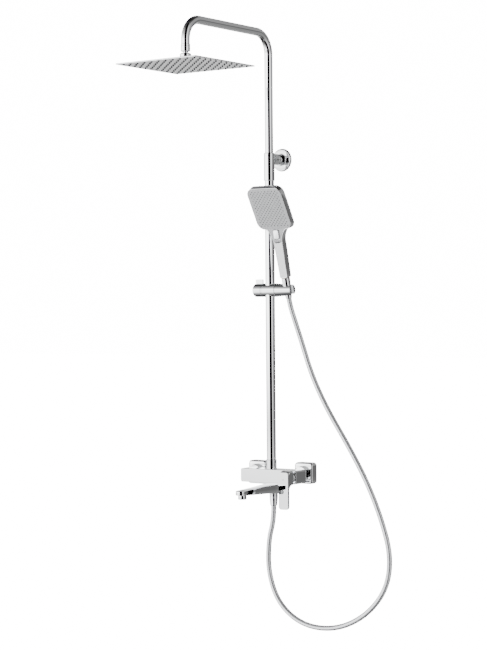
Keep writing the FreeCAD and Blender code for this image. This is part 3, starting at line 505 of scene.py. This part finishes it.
def make_arm():
    """A ring of points drawn up, round two bends and down, then given a wall."""
    fresh()
    bpy.ops.mesh.primitive_circle_add(vertices=64, radius=0.011, location=RISER + Z * 0.8188)
    arm = bpy.context.object
    arm.name = "arm"
    bpy.ops.object.mode_set(mode="EDIT")
    bpy.ops.mesh.select_all(action="SELECT")
    level = 1.17
    reach = 0.366
    bend = 0.056
    for rise in (0.09, 0.09, 0.1152):
        bpy.ops.mesh.extrude_region_move(TRANSFORM_OT_translate={"value": Z * rise})
    bpy.ops.mesh.spin(steps=20, angle=math.pi / 2, axis=-X,
                      center=RISER + Z * (level - bend) - Y * bend)
    for _ in range(3):
        bpy.ops.mesh.extrude_region_move(
            TRANSFORM_OT_translate={"value": -Y * (reach - 2 * bend) / 3})
    bpy.ops.mesh.spin(steps=20, angle=math.pi / 2, axis=-X,
                      center=DROP + Z * (level - bend) + Y * bend)
    bpy.ops.mesh.extrude_region_move(TRANSFORM_OT_translate={"value": -Z * 0.0227})
    settled(arm)
    with_modifier(arm, "SOLIDIFY", thickness=0.0012, offset=-1)
    done(arm, CHROME, "column", ["arm_tube"], 0, 30)

    nut = lathed("arm_nut", [
        (0.0071, 0.0841), (0.0102, 0.0841), (0.0112, 0.0846), (0.012, 0.0858),
        (0.012, 0.0972), (0.0117, 0.0975), (0.0117, 0.0981), (0.012, 0.0984),
        (0.012, 0.1021), (0.0114, 0.103), (0.01105, 0.103), (0.01105, 0.088),
        (0.0071, 0.088)], DROP + Z, closed=True)
    done(nut, CHROME, "column", ["arm_end_nut"], 0.00015)
    ball = [(0.01 * math.cos(math.radians(turn)), 0.068 + 0.01 * math.sin(math.radians(turn)))
            for turn in range(-84, 54, 6)]
    stud = lathed("ball_stud", [(0.0035, 0.0582)] + ball + [
        (0.0062, 0.0768), (0.0062, 0.0832), (0.0069, 0.084), (0.0069, 0.08795), (0.0109, 0.08805),
        (0.0109, 0.0912), (0.0035, 0.0912)], DROP + Z, closed=True)
    done(stud, CHROME, "column", ["ball_stud"], 0)


make_riser()
make_bracket()
make_arm()


# ---------------------------------------------------------------- rain head

def make_rain_head():
    collar = lathed("head_collar", [
        (0.0085, 0.0622), (0.0144, 0.0622), (0.0145, 0.0626), (0.0145, 0.0768),
        (0.0142, 0.0777), (0.0131, 0.0788), (0.0118, 0.08), (0.0108, 0.08), (0.0105, 0.0797),
        (0.0102, 0.0745), (0.0122, 0.068), (0.0115, 0.0642)], DROP + Z, closed=True)
    done(collar, CHROME, "rain_head", ["head_collar"], 0.00015)

    low = 1.0502
    plate = block("head_top", (-0.125, DROP.y - 0.125, low), (0.125, DROP.y + 0.125, low + 0.002))
    bevelled(plate, 0.0028, 4, lambda middle, span, edge: abs(span.z) > 0.9)
    bevelled(plate, 0.0009, 3, lambda middle, span, edge: middle.z > low + 0.0019)
    rise = lathed("rise", [(0, 0.001), (0.052, 0.0012), (0.0495, 0.0024), (0.0445, 0.0037),
                           (0.034, 0.0064), (0.022, 0.0096), (0.0175, 0.0113),
                           (0.0165, 0.0118), (0, 0.0118)], DROP + Z * low, steps=96)
    merged(plate, rise)
    mouth = lathed("mouth", [(0, -0.001), (0.008, -0.001), (0.008, 0.02), (0, 0.02)],
                   DROP + Z * low)
    carved(plate, mouth)
    done(plate, BRIGHT_STEEL, "rain_head", ["head_top_plate"], 0)

    tray = block("head_underside", (-0.125, DROP.y - 0.125, 1.049),
                 (0.125, DROP.y + 0.125, 1.0502))
    bevelled(tray, 0.0028, 4, lambda middle, span, edge: abs(span.z) > 0.9)
    editing(tray)
    pick_faces(tray, lambda middle, normal: normal.z < -0.9)
    bpy.ops.mesh.inset(thickness=0.0011, depth=0)
    bpy.ops.mesh.inset(thickness=0.0004, depth=-0.0002)
    bpy.ops.mesh.inset(thickness=0.0018, depth=0)
    settled(tray)
    done(tray, BRIGHT_STEEL, "rain_head", ["head_spray_plate"], 0.0002)

    pitch = 0.022
    first = Vector((-5 * pitch, DROP.y - 5 * pitch, 1.049))
    nozzle = lathed("rain_nozzles", [
        (0, 0.0003), (0.0029, 0.0003), (0.0029, -0.0003), (0.0024, -0.0006), (0.0019, -0.0012),
        (0.0016, -0.0024), (0.0013, -0.0028), (0.0007, -0.0028), (0.0006, -0.0016),
        (0, -0.0016)], first, steps=12)
    with_modifier(nozzle, "ARRAY", count=11, use_relative_offset=False,
                  use_constant_offset=True, constant_offset_displace=(pitch, 0, 0))
    with_modifier(nozzle, "ARRAY", count=11, use_relative_offset=False,
                  use_constant_offset=True, constant_offset_displace=(0, pitch, 0))
    done(nozzle, NOZZLE_RUBBER, "rain_head", ["head_nozzles"], 0, 50)


make_rain_head()


# ---------------------------------------------------------------- slider and cradle

HOLD = Vector((0.056, -0.062, 0.488))
LEAN = math.radians(15.4)
HELD = Matrix.Translation(HOLD) @ Matrix.Rotation(LEAN, 4, "X")


def make_slider():
    hub = RISER + Z * 0.488
    body = lathed("slider_body", [
        (0, -0.0208), (0.0174, -0.0208), (0.018, -0.0202), (0.018, -0.0166), (0.0178, -0.0164),
        (0.0178, -0.0159), (0.018, -0.0157), (0.018, 0.0226), (0.0174, 0.0232),
        (0.00795, 0.0232), (0.00795, 0.04), (0, 0.04)], hub, "X", 80)
    bore = lathed("bore", [(0, -0.03), (0.0137, -0.03), (0.0137, 0.03), (0, 0.03)], hub)
    done(carved(body, bore), PLATED, "slider", ["slider_body"], 0.0002)

    cap = lathed("slider_cap", [
        (0, 0.027), (0.013, 0.027), (0.0149, 0.0266), (0.0165, 0.0255), (0.0176, 0.0239),
        (0.018, 0.022), (0.018, 0.0006), (0.0174, 0), (0.0135, 0), (0.0135, 0.0225),
        (0, 0.0225)], hub - X * 0.021, "-X", 80)
    slit = block("slit", hub + Vector((-0.0456, -0.0029, 0)),
                 hub + Vector((-0.0221, 0.0029, 0.04)))
    done(carved(cap, slit), PLATED, "slider", ["slider_end_cap"], 0.0003)

    tab = slab("release_tab", [hub + Vector((x, -0.0025, z)) for x, z in (
        (-0.043, 0.007), (-0.0226, 0.007), (-0.0226, 0.0272), (-0.0229, 0.0281),
        (-0.0236, 0.0289), (-0.0246, 0.0292), (-0.044, 0.0292), (-0.0448, 0.0289),
        (-0.0452, 0.0282), (-0.0452, 0.0185), (-0.043, 0.0185))], Y * 0.005)
    foot = block("foot", hub + Vector((-0.043, -0.006, 0.004)),
                 hub + Vector((-0.023, 0.006, 0.0072)))
    done(merged(tab, foot), PLATED, "release_button", ["release_button"], 0.0007)


def make_cradle():
    hub = RISER + Z * 0.488
    arm = lathed("cradle_arm", [
        (0, 0.0236), (0.0169, 0.0236), (0.0173, 0.024), (0.0148, 0.0708), (0.0144, 0.0716),
        (0.0136, 0.072), (0, 0.072)], hub, "X", 80)
    seat = placed(lathed("seat", [(0, -0.03), (0.0087, -0.03), (0.012, 0.03), (0, 0.03)]), HELD)
    slot = placed(block("slot", (0, -0.0076, -0.03), (0.03, 0.0076, 0.03)), HELD)
    socket = lathed("socket", [(0, 0.02), (0.008, 0.02), (0.008, 0.0404), (0.0025, 0.0404),
                               (0.0025, 0.043), (0.0045, 0.043), (0.0045, 0.05), (0, 0.05)],
                    hub, "X", 48)
    done(carved(arm, seat, slot, socket), PLATED, "cradle", ["cradle"], 0.0006)


make_slider()
make_cradle()


# ---------------------------------------------------------------- hand shower

SLOPE = math.radians(15.6)
FRONT = -0.0097
BEND = 0.169


def hand_half(inset, corner_steps=7):
    """Right half of the hand shower's front view, from its foot up, as (x, z)."""
    wide = 0.054 - inset
    top = 0.284 - inset
    corner = 0.02 - inset
    half = [(0.0095 - inset, 0.0345 + inset), (0.0112 - inset, 0.0352 + inset),
            (0.0119 - inset, 0.0369 + inset)]
    half += [(0.0125 - inset, 0.06), (0.0132 - inset, 0.09), (0.0138 - inset, 0.118),
             (0.014 - inset, 0.128)]
    for turn in range(1, 10):
        share = turn / 9
        half.append((0.014 - inset + 0.015 * share ** 2.1,
                     0.128 + (0.0375 + inset) * share ** 0.9))
    half.append((0.0325 - inset, 0.1666 + inset))
    for low, first in ((0.167 + inset + corner, -90), (top - corner, 0)):
        for step in range(corner_steps + 1):
            turn = math.radians(first + 90 * step / corner_steps)
            half.append((wide - corner + corner * math.cos(turn),
                         low + corner * math.sin(turn)))
        if first:
            half += [(wide, 0.2), (wide, 0.215), (wide, 0.2312), (wide, 0.248)]
    return half


def face_half(inset):
    """The same half from the tongue under the button upward."""
    lift = inset - FACE_INSET
    tongue = [(0.0035, 0.1292), (0.007, 0.1297), (0.0095, 0.1311), (0.011, 0.1336)]
    return ([(x - lift, z + lift) for x, z in tongue]
            + [corner for corner in hand_half(inset) if corner[1] > 0.1365])


def front_of(z):
    return FRONT - max(0, z - BEND) * math.tan(SLOPE)


def back_of(z):
    """Depth of the back: a deep handle that thins into the flat head."""
    corners = [(0.02, 0.0112), (0.12, 0.0112), (0.145, 0.0098), (0.169, 0.0076), (0.2, -0.0003),
               (0.2312, -0.0083), (0.2885, -0.025)]
    for (z0, y0), (z1, y1) in zip(corners, corners[1:]):
        if z <= z1:
            return y0 + (y1 - y0) * max(0, z - z0) / (z1 - z0)
    return corners[-1][1]


def layered(name, rings):
    """A symmetric solid drawn ring by ring from right halves of the same count."""
    piece = start_point(name, rings[0][0])
    corners = [Vector(corner) for corner in rings[0]]
    origin = corners[0]
    follow([after - before for before, after in zip(corners, corners[1:])])
    shape = bmesh.from_edit_mesh(piece.data)
    places = shape.verts.layers.int.new("place")
    for index, vertex in enumerate(shape.verts):
        vertex[places] = index
    bmesh.update_edit_mesh(piece.data)
    bpy.ops.mesh.select_all(action="SELECT")
    bpy.ops.mesh.extrude_edges_move(TRANSFORM_OT_translate={"value": X * -0.001})
    shape = bmesh.from_edit_mesh(piece.data)
    places = shape.verts.layers.int["place"]
    for vertex in shape.verts:
        if vertex.select:
            vertex.co = corners[vertex[places]] * Vector((-1, 1, 1)) - origin
    bmesh.update_edit_mesh(piece.data)
    bpy.ops.mesh.select_mode(type="FACE")
    bpy.ops.mesh.select_all(action="SELECT")
    for ring in rings[1:]:
        bpy.ops.mesh.extrude_region_move(TRANSFORM_OT_translate={"value": Y * 0.0001})
        shape = bmesh.from_edit_mesh(piece.data)
        places = shape.verts.layers.int["place"]
        for vertex in shape.verts:
            if vertex.select:
                side = math.copysign(1, vertex.co.x + origin.x)
                vertex.co = Vector(ring[vertex[places]]) * Vector((side, 1, 1)) - origin
        bmesh.update_edit_mesh(piece.data)
    return settled(piece)


def rings_of(half, layers):
    """Rings at (inset, base, offset): base is the front or the back surface."""
    rings = []
    for inset, base, offset in layers:
        lean = 0.04 if base is back_of else 0
        ring = [(x, z + lean * max(0, z - BEND)) for x, z in half(inset)]
        rings.append([(x, base(z) + offset, z) for x, z in ring])
    return rings


def button_well():
    well = block("well", (-0.0099, -0.02, 0.1392), (0.0099, -0.003, 0.1674))
    return bevelled(well, 0.0062, 6, lambda middle, span, edge: abs(span.y) > 0.9)


FACE_INSET = 0.002


def make_handset():
    shell = layered("hand_shell", rings_of(hand_half, [
        (0.0018, front_of, 0.0016), (0.0018, front_of, 0.0004), (0.0015, front_of, 0.0001),
        (0.001, front_of, 0), (0.0005, front_of, 0.0002), (0.0001, front_of, 0.0006),
        (0, front_of, 0.0012), (0, back_of, -0.0018), (0.0002, back_of, -0.001),
        (0.0007, back_of, -0.0003), (0.0015, back_of, 0)]))
    inlet = lathed("inlet", [(0, 0.03), (0.0071, 0.03), (0.0071, 0.053), (0, 0.053)], steps=48)
    carved(shell, button_well(), inlet)
    done(placed(shell, HELD), PLATED, "handset", ["handset_shell"], 0)

    face = layered("hand_face", rings_of(face_half, [
        (FACE_INSET, front_of, 0.0015), (FACE_INSET, front_of, 0.0003),
        (0.0022, front_of, 0.0001), (0.0026, front_of, 0)]))
    carved(face, button_well())
    done(placed(face, HELD), FACE_GREY, "handset", ["handset_face_plate"], 0)

    half = [(0, 0.0369), (0.006, 0.0369), (0.0085, 0.0373), (0.0098, 0.0386), (0.0102, 0.041),
            (0.0106, 0.06), (0.0113, 0.09), (0.0118, 0.118), (0.0119, 0.1356), (0.0109, 0.1327),
            (0.0092, 0.1304), (0.0067, 0.1289), (0.0034, 0.1283), (0, 0.1283)]
    outline = half + [(-x, z) for x, z in reversed(half[1:-1])]
    panel = slab("hand_panel", [(x, FRONT, z) for x, z in outline], Y * 0.0015)
    done(placed(panel, HELD), PANEL_WHITE, "handset", ["handset_handle_panel"], 0.0003)

    key = block("mode_key", (-0.0088, -0.0132, 0.1403), (0.0088, -0.0042, 0.1663))
    bevelled(key, 0.0056, 6, lambda middle, span, edge: abs(span.y) > 0.9)
    bevelled(key, 0.0024, 5, lambda middle, span, edge: middle.y < -0.0131)
    done(placed(key, HELD), PLATED, "mode_button", ["mode_button"], 0)

    tilt = Matrix.Translation((0, FRONT, BEND)) @ Matrix.Rotation(SLOPE, 4, "X")
    rows = []
    for line, count in ((0, 9), (1, 8)):
        pip = lathed("face_pips", [(0, 0.0002), (0.0015, 0.0002), (0.0015, -0.0002),
                                   (0.0011, -0.0005), (0.0009, -0.001), (0.0005, -0.0011),
                                   (0, -0.0008)],
                     (-0.0416 + 0.0052 * line, 0, 0.009 + 0.0053 * line), "Y", 10)
        with_modifier(pip, "ARRAY", count=count, use_relative_offset=False,
                      use_constant_offset=True, constant_offset_displace=(0.0104, 0, 0))
        with_modifier(pip, "ARRAY", count=10, use_relative_offset=False,
                      use_constant_offset=True, constant_offset_displace=(0, 0, 0.0106))
        rows.append(pip)
    pips = placed(joined(*rows), HELD @ tilt)
    done(pips, PIP_GREY, "handset", ["handset_nozzles"], 0, 50)

    nut = lathed("upper_hose_nut", [
        (0.01045, 0.0341), (0.0107, 0.0341), (0.0113, 0.0335), (0.0113, 0.0268),
        (0.0111, 0.0266), (0.0111, 0.0261), (0.01125, 0.0259), (0.0111, 0.0195),
        (0.0086, -0.0205), (0.0083, -0.0217), (0.0079, -0.022), (0.0035, -0.022),
        (0.0035, 0.0183), (0.01045, 0.0183)], closed=True)
    return done(placed(nut, HELD), CHROME, "handset", ["hose_nut_upper"], 0.00015)


upper_nut = make_handset()


# ---------------------------------------------------------------- mixer

def make_body():
    body = block("mixer_body", (-0.086, -0.084, -0.02475), (0.093, -0.038, 0.01175))
    bevelled(body, 0.0045, 5, lambda middle, span, edge: abs(span.y) > 0.9)
    bevelled(body, 0.0016, 4, lambda middle, span, edge: middle.y < -0.0835)
    belly = slab("belly", [(-0.056, -0.081, -0.02805), (0.058, -0.081, -0.02805),
                           (0.0606, -0.081, -0.0268), (0.062, -0.081, -0.0245),
                           (0.062, -0.081, -0.02), (-0.062, -0.081, -0.02),
                           (-0.062, -0.081, -0.0245), (-0.0598, -0.081, -0.0268)], Y * 0.04)
    boss = lathed("boss", [(0, 0.01), (0.012, 0.01), (0.012, 0.0222), (0.0115, 0.02275),
                           (0, 0.02275)], RISER)
    tails = []
    for side in (-0.075, 0.075):
        tails.append(lathed("tail", [(0, 0.033), (0.0127, 0.033), (0.0127, 0.0348),
                                     (0.0115, 0.0348), (0.0115, 0.04), (0, 0.04)],
                            (side, 0, 0), "-Y", 48))
    merged(body, belly, boss, *tails)
    hole = lathed("hole", [(0, -0.0005), (0.0135, -0.0005), (0.0135, 0.0335), (0, 0.0335)],
                  (0.075, -0.084, -0.0065), "Y", 64)
    way = lathed("way", [(0, -0.03), (0.01005, -0.03), (0.01005, -0.017), (0, -0.017)],
                 (0.005, -0.06, 0), "Z", 48)
    carved(body, hole, way)
    done(body, CHROME, "column", ["mixer_body"], 0.0003)


def make_wall_plates():
    for side, name in ((-0.075, "hot"), (0.075, "cold")):
        plate = block("wall_plate_" + name, (side - 0.0285, -0.023, -0.0285),
                      (side + 0.0285, 0, 0.0285))
        bevelled(plate, 0.009, 8, lambda middle, span, edge: abs(span.y) > 0.9)
        bevelled(plate, 0.0048, 7, lambda middle, span, edge: middle.y < -0.0225)
        inside = block("inside", (side - 0.0263, -0.02, -0.0263), (side + 0.0263, 0.01, 0.0263))
        bevelled(inside, 0.007, 5, lambda middle, span, edge: abs(span.y) > 0.9)
        hole = lathed("hole", [(0, -0.01), (0.01335, -0.01), (0.01335, 0.04), (0, 0.04)],
                      (side, 0, 0), "-Y", 64)
        carved(plate, inside, hole)
        done(plate, CHROME, "column", ["escutcheon_" + name], 0)

        fresh()
        bpy.ops.mesh.primitive_cylinder_add(vertices=6, radius=0.034 / math.sqrt(3),
                                            depth=0.013, location=(side, -0.0301, 0),
                                            rotation=(math.pi / 2, 0, 0))
        nut = bpy.context.object
        nut.name = "wall_nut_" + name
        bpy.ops.object.transform_apply(location=True, rotation=True, scale=True)
        crown = lathed("crown", [(0, -0.0066), (0.0176, -0.0066), (0.0194, -0.0052),
                                 (0.0194, 0.0052), (0.0176, 0.0066), (0, 0.0066)],
                       (side, -0.0301, 0), "Y", 72)
        with_modifier(nut, "BOOLEAN", operation="INTERSECT", solver="EXACT", object=crown)
        bpy.data.objects.remove(crown)
        thread = lathed("thread", [(0, -0.02), (0.0117, -0.02), (0.0117, -0.0052),
                                   (0.01325, -0.0052), (0.01325, 0.01), (0, 0.01)],
                        (side, -0.0301, 0), "Y", 48)
        carved(nut, thread)
        done(nut, CHROME, "column", ["union_nut_" + name], 0.0003)


def rounded_corners(low, high, low_radius, high_radius):
    """Corners of a rectangle with rounded ends, as (x, z), from the lower right."""
    corners = []
    for x, z, radius, first in ((high[0], low[1], low_radius, -90),
                                (high[0], high[1], high_radius, 0),
                                (low[0], high[1], high_radius, 90),
                                (low[0], low[1], low_radius, 180)):
        across = x - math.copysign(radius, x)
        upward = z + (radius if z == low[1] else -radius)
        for step in range(8):
            turn = math.radians(first + 90 * step / 7)
            corners.append((across + radius * math.cos(turn), upward + radius * math.sin(turn)))
    return corners


def make_lever():
    at = Vector((0.075, 0, 0))
    plate = slab("lever", [at + Vector((x, -0.118, z)) for x, z in rounded_corners(
        (-0.015, -0.089), (0.015, 0.0086), 0.008, 0.0068)], Y * 0.0072)
    bevelled(plate, 0.0013, 4, lambda middle, span, edge:
             middle.y < -0.1179 or (middle.y > -0.111 and middle.z < -0.03))
    hub = slab("hub", [at + Vector((-0.015, y, z)) for y, z in (
        (-0.093, 0.0123), (-0.093, -0.025), (-0.098, -0.025), (-0.1012, -0.0254),
        (-0.1042, -0.0267), (-0.1068, -0.0287), (-0.1089, -0.0315), (-0.1104, -0.0347),
        (-0.111, -0.038), (-0.1125, -0.038), (-0.1125, 0.0066), (-0.1118, 0.0088),
        (-0.1102, 0.0103), (-0.1075, 0.0115), (-0.104, 0.0121), (-0.1, 0.0123))], X * 0.03)
    bevelled(hub, 0.0058, 6, lambda middle, span, edge:
             abs(span.x) < 0.1 and middle.z > 0.007 and middle.y > -0.1124)
    bevelled(hub, 0.0025, 3, lambda middle, span, edge:
             abs(span.y) > 0.9 and abs(middle.z + 0.025) < 0.0001)
    merged(plate, hub)
    hollow = block("hollow", at + Vector((-0.012, -0.101, -0.0215)),
                   at + Vector((0.012, -0.09, 0.009)))
    socket = block("socket", at + Vector((-0.00305, -0.1081, -0.00955)),
                   at + Vector((0.00305, -0.098, -0.00345)))
    dot_hole = lathed("dot_hole", [(0, -0.0001), (0.0017, -0.0001), (0.0017, 0.0009),
                                   (0, 0.0009)], at + Vector((0, -0.118, -0.0105)), "Y", 32)
    screw_way = lathed("screw_way", [(0, -0.026), (0.0025, -0.026), (0.0025, -0.0096),
                                     (0, -0.0096)], at + Vector((0, -0.1045, 0)), "Z", 24)
    carved(plate, hollow, socket, dot_hole, screw_way)
    done(plate, CHROME, "lever", ["lever_handle"], 0.0003)
    dot = lathed("lever_dot", [(0, -0.0001), (0.0012, -0.0001), (0.0016, 0.0001),
                               (0.00165, 0.0008), (0, 0.0008)],
                 at + Vector((0, -0.118, -0.0105)), "Y", 32)
    done(dot, DOT, "lever", ["lever_indicator"], 0)
    trim = lathed("trim_ring", [
        (0.0132, 0), (0.01495, 0), (0.015, 0.0015), (0.0148, 0.0028), (0.0142, 0.0039),
        (0.0132, 0.0048), (0.012, 0.0054), (0.0106, 0.0058), (0.0092, 0.006),
        (0.0092, 0.0048), (0.0116, 0.0041), (0.0132, 0.0014)],
        (0.075, -0.084, -0.0065), "-Y", closed=True)
    done(trim, CHROME, "column", ["cartridge_trim"], 0)


def make_spout():
    root = Vector((0.005, -0.06, 0))
    plan = []
    for step in range(19):
        turn = math.radians(10 * step)
        plan.append((0.025 * math.cos(turn), 0.025 * math.sin(turn)))
    plan += [(-0.0241, -0.0055), (-0.0226, -0.0108), (-0.0214, -0.016), (-0.0192, -0.028),
             (-0.0172, -0.042), (-0.0152, -0.066), (-0.014, -0.092), (-0.014, -0.12)]
    for step in range(13):
        turn = math.radians(180 + 15 * step)
        plan.append((0.014 * math.cos(turn), -0.1505 + 0.014 * math.sin(turn)))
    plan += [(0.014, -0.12), (0.014, -0.092), (0.0152, -0.066), (0.0172, -0.042),
             (0.0192, -0.028), (0.0214, -0.016), (0.0226, -0.0108), (0.0241, -0.0055)]
    spout = slab("spout", [root + Vector((x, y, -0.0515)) for x, y in plan], Z * 0.0231)
    editing(spout)
    tip = -0.1665
    for start, end in (((-0.034, -0.0284), (tip, -0.0358)), ((-0.08, -0.0495), (tip, -0.0474)),
                       ((-0.024, -0.0515), (-0.08, -0.0495))):
        away = Vector((0, start[0] - end[0], start[1] - end[1])).normalized()
        up = start[1] > -0.04
        normal = Vector((0, -away.z, away.y)) if up else Vector((0, away.z, -away.y))
        if normal.z * (1 if up else -1) < 0:
            normal = -normal
        bpy.ops.mesh.select_all(action="SELECT")
        bpy.ops.mesh.bisect(plane_co=root + Vector((0, start[0], start[1])), plane_no=normal,
                            use_fill=True, clear_outer=True)
    settled(spout)
    bevelled(spout, 0.0011, 3, lambda middle, span, edge:
             len(edge.link_faces) == 2 and edge.calc_face_angle(0) > math.radians(55)
             and max(abs(face.normal.z) for face in edge.link_faces) > 0.8)
    bore = lathed("bore", [(0, -0.06), (0.01205, -0.06), (0.01205, -0.02), (0, -0.02)], root)
    seat = lathed("seat", [(0, -0.055), (0.01, -0.055), (0.01, -0.0425), (0, -0.0425)],
                  root + Vector((0, -0.1445, 0)), steps=48)
    carved(spout, bore, seat)
    done(spout, CHROME, "spout", ["spout"], 0)

    mouth = root + Vector((0, -0.1445, 0))
    ring = lathed("aerator", [
        (0.0087, -0.0578), (0.0091, -0.058), (0.0101, -0.058), (0.0106, -0.0577),
        (0.0112, -0.0569), (0.0112, -0.0532), (0.011, -0.053), (0.011, -0.0526),
        (0.0112, -0.0524), (0.0112, -0.049), (0.0109, -0.0485), (0.0099, -0.0485),
        (0.0099, -0.0432), (0.0087, -0.0432)], mouth, closed=True)
    done(ring, CHROME, "spout", ["aerator_housing"], 0.00015)

    nut = lathed("lower_hose_nut", [
        (0.0105, -0.0538), (0.0108, -0.0538), (0.0113, -0.0544), (0.0113, -0.0566),
        (0.0111, -0.0568), (0.0111, -0.0573), (0.0113, -0.0575), (0.0113, -0.064),
        (0.0094, -0.084), (0.0091, -0.0858), (0.0085, -0.0865), (0.0035, -0.0865),
        (0.0035, -0.0662), (0.0105, -0.0662)], root, closed=True)
    done(nut, CHROME, "column", ["hose_nut_lower"], 0.00015)


make_body()
make_wall_plates()
make_lever()
make_spout()


# ---------------------------------------------------------------- inner pieces

FINISH_OF = {
    "brass": BRASS, "steel": STEEL, "rubber": RUBBER, "white_plastic": WHITE_PLASTIC,
    "grey_plastic": GREY_PLASTIC, "chrome": CHROME,
}
for entry in frame["record"]["subparts"]:
    node = frame["nodes"][entry["node"]]
    finish = FINISH_OF.get(entry["material_slot"])
    if finish and not node.hide_render:
        for place in node.material_slots:
            place.material = finish[0]


# ---------------------------------------------------------------- studio

def make_floor():
    fresh()
    bpy.ops.mesh.primitive_plane_add(size=60, location=(0, 0, -0.62))
    floor = bpy.context.object
    floor.name = "floor"
    material, tree, shader = new_material("pale_floor")
    shader.inputs["Base Color"].default_value = (0.86, 0.86, 0.86, 1)
    shader.inputs["Roughness"].default_value = 0.9
    ray = tree.nodes.new("ShaderNodeLightPath")
    glow = tree.nodes.new("ShaderNodeMath")
    glow.operation = "MULTIPLY"
    glow.inputs[1].default_value = 15
    tree.links.new(ray.outputs["Is Camera Ray"], glow.inputs[0])
    shader.inputs["Emission Color"].default_value = (1, 1, 1, 1)
    tree.links.new(glow.outputs["Value"], shader.inputs["Emission Strength"])
    floor.data.materials.append(material)
    floor.visible_glossy = False


def graded(ramp, stops):
    """Set a colour ramp to grey levels at places from 0 to 1."""
    while len(ramp.elements) < len(stops):
        ramp.elements.new(0.5)
    for element, (place, level) in zip(ramp.elements, stops):
        element.position = place
        element.color = (level, level, level, 1)


SOFT_LIGHT = 2.3
BACKDROP_LIGHT = 16


def make_studio():
    """A white tent with a dark gap at the front and a grey side, seen in the plating."""
    world = bpy.data.worlds.new("studio")
    bpy.context.scene.world = world
    world.use_nodes = True
    tree = world.node_tree
    tree.nodes.clear()
    link = tree.links.new
    way = tree.nodes.new("ShaderNodeTexCoord")
    turned = tree.nodes.new("ShaderNodeMapping")
    turned.inputs["Rotation"].default_value = (0, 0, math.pi / 2 - VIEW_TURN)
    link(way.outputs["Generated"], turned.inputs["Vector"])
    round_about = tree.nodes.new("ShaderNodeTexGradient")
    round_about.gradient_type = "RADIAL"
    link(turned.outputs["Vector"], round_about.inputs["Vector"])
    walls = tree.nodes.new("ShaderNodeValToRGB")
    link(round_about.outputs["Fac"], walls.inputs["Fac"])
    stops = [(-180, 1.8), (-168, 1.4), (-150, 0.7), (-125, 0.75), (-112, 4.5), (-84, 5.5),
             (-60, 5.5), (-36, 6.0), (-31, 0.0), (27, 0.0), (32, 2.4), (50, 2.2), (62, 0.75),
             (90, 0.36), (150, 0.4), (168, 0.5), (174, 1.8), (180, 1.8)]
    graded(walls.color_ramp, [(turn / 360 + 0.5, level) for turn, level in stops])
    split = tree.nodes.new("ShaderNodeSeparateXYZ")
    link(way.outputs["Generated"], split.inputs["Vector"])
    lift = tree.nodes.new("ShaderNodeMapRange")
    lift.inputs["From Min"].default_value = -1
    lift.inputs["From Max"].default_value = 1
    link(split.outputs["Z"], lift.inputs["Value"])
    heights = []
    for levels in (
            [(-1, 0.02), (-0.82, 0.03), (-0.76, 0.1), (-0.63, 0.15), (-0.43, 0.6),
             (-0.3, 0.8), (-0.2, 0.6), (-0.1, 0.45), (-0.05, 0.6), (0.0, 1.0), (0.12, 1.0), (0.26, 0.6),
             (0.47, 0.17), (0.66, 0.08), (0.78, 0.035), (0.82, 0.015), (1, 0.01)],
            [(-1, 0.1), (-0.7, 0.8), (-0.3, 0.8), (-0.16, 0.55), (-0.1, 0.42), (0.07, 0.42),
             (0.12, 1.0), (0.6, 0.9), (0.75, 0.2), (1, 0.02)]):
        height = tree.nodes.new("ShaderNodeValToRGB")
        graded(height.color_ramp, [((z + 1) / 2, level) for z, level in levels])
        link(lift.outputs["Result"], height.inputs["Fac"])
        heights.append(height)
    side = tree.nodes.new("ShaderNodeValToRGB")
    graded(side.color_ramp, [(0.6, 0), (0.66, 1), (1, 1)])
    link(round_about.outputs["Fac"], side.inputs["Fac"])
    either = tree.nodes.new("ShaderNodeMix")
    either.data_type = "RGBA"
    link(side.outputs["Color"], either.inputs["Factor"])
    link(heights[0].outputs["Color"], either.inputs["A"])
    link(heights[1].outputs["Color"], either.inputs["B"])
    product = tree.nodes.new("ShaderNodeMix")
    product.data_type = "RGBA"
    product.blend_type = "MULTIPLY"
    product.inputs["Factor"].default_value = 1
    link(walls.outputs["Color"], product.inputs["A"])
    link(either.outputs["Result"], product.inputs["B"])
    tent = tree.nodes.new("ShaderNodeBackground")
    link(product.outputs["Result"], tent.inputs["Color"])
    soft = tree.nodes.new("ShaderNodeBackground")
    soft.inputs["Color"].default_value = (1, 1, 1, 1)
    soft.inputs["Strength"].default_value = SOFT_LIGHT
    plain = tree.nodes.new("ShaderNodeBackground")
    plain.inputs["Color"].default_value = (1, 1, 1, 1)
    plain.inputs["Strength"].default_value = BACKDROP_LIGHT
    ray = tree.nodes.new("ShaderNodeLightPath")
    first = tree.nodes.new("ShaderNodeMixShader")
    link(ray.outputs["Is Glossy Ray"], first.inputs["Fac"])
    link(soft.outputs["Background"], first.inputs[1])
    link(tent.outputs["Background"], first.inputs[2])
    second = tree.nodes.new("ShaderNodeMixShader")
    link(ray.outputs["Is Camera Ray"], second.inputs["Fac"])
    link(first.outputs["Shader"], second.inputs[1])
    link(plain.outputs["Background"], second.inputs[2])
    out = tree.nodes.new("ShaderNodeOutputWorld")
    link(second.outputs["Shader"], out.inputs["Surface"])


make_floor()
make_studio()
fresh()
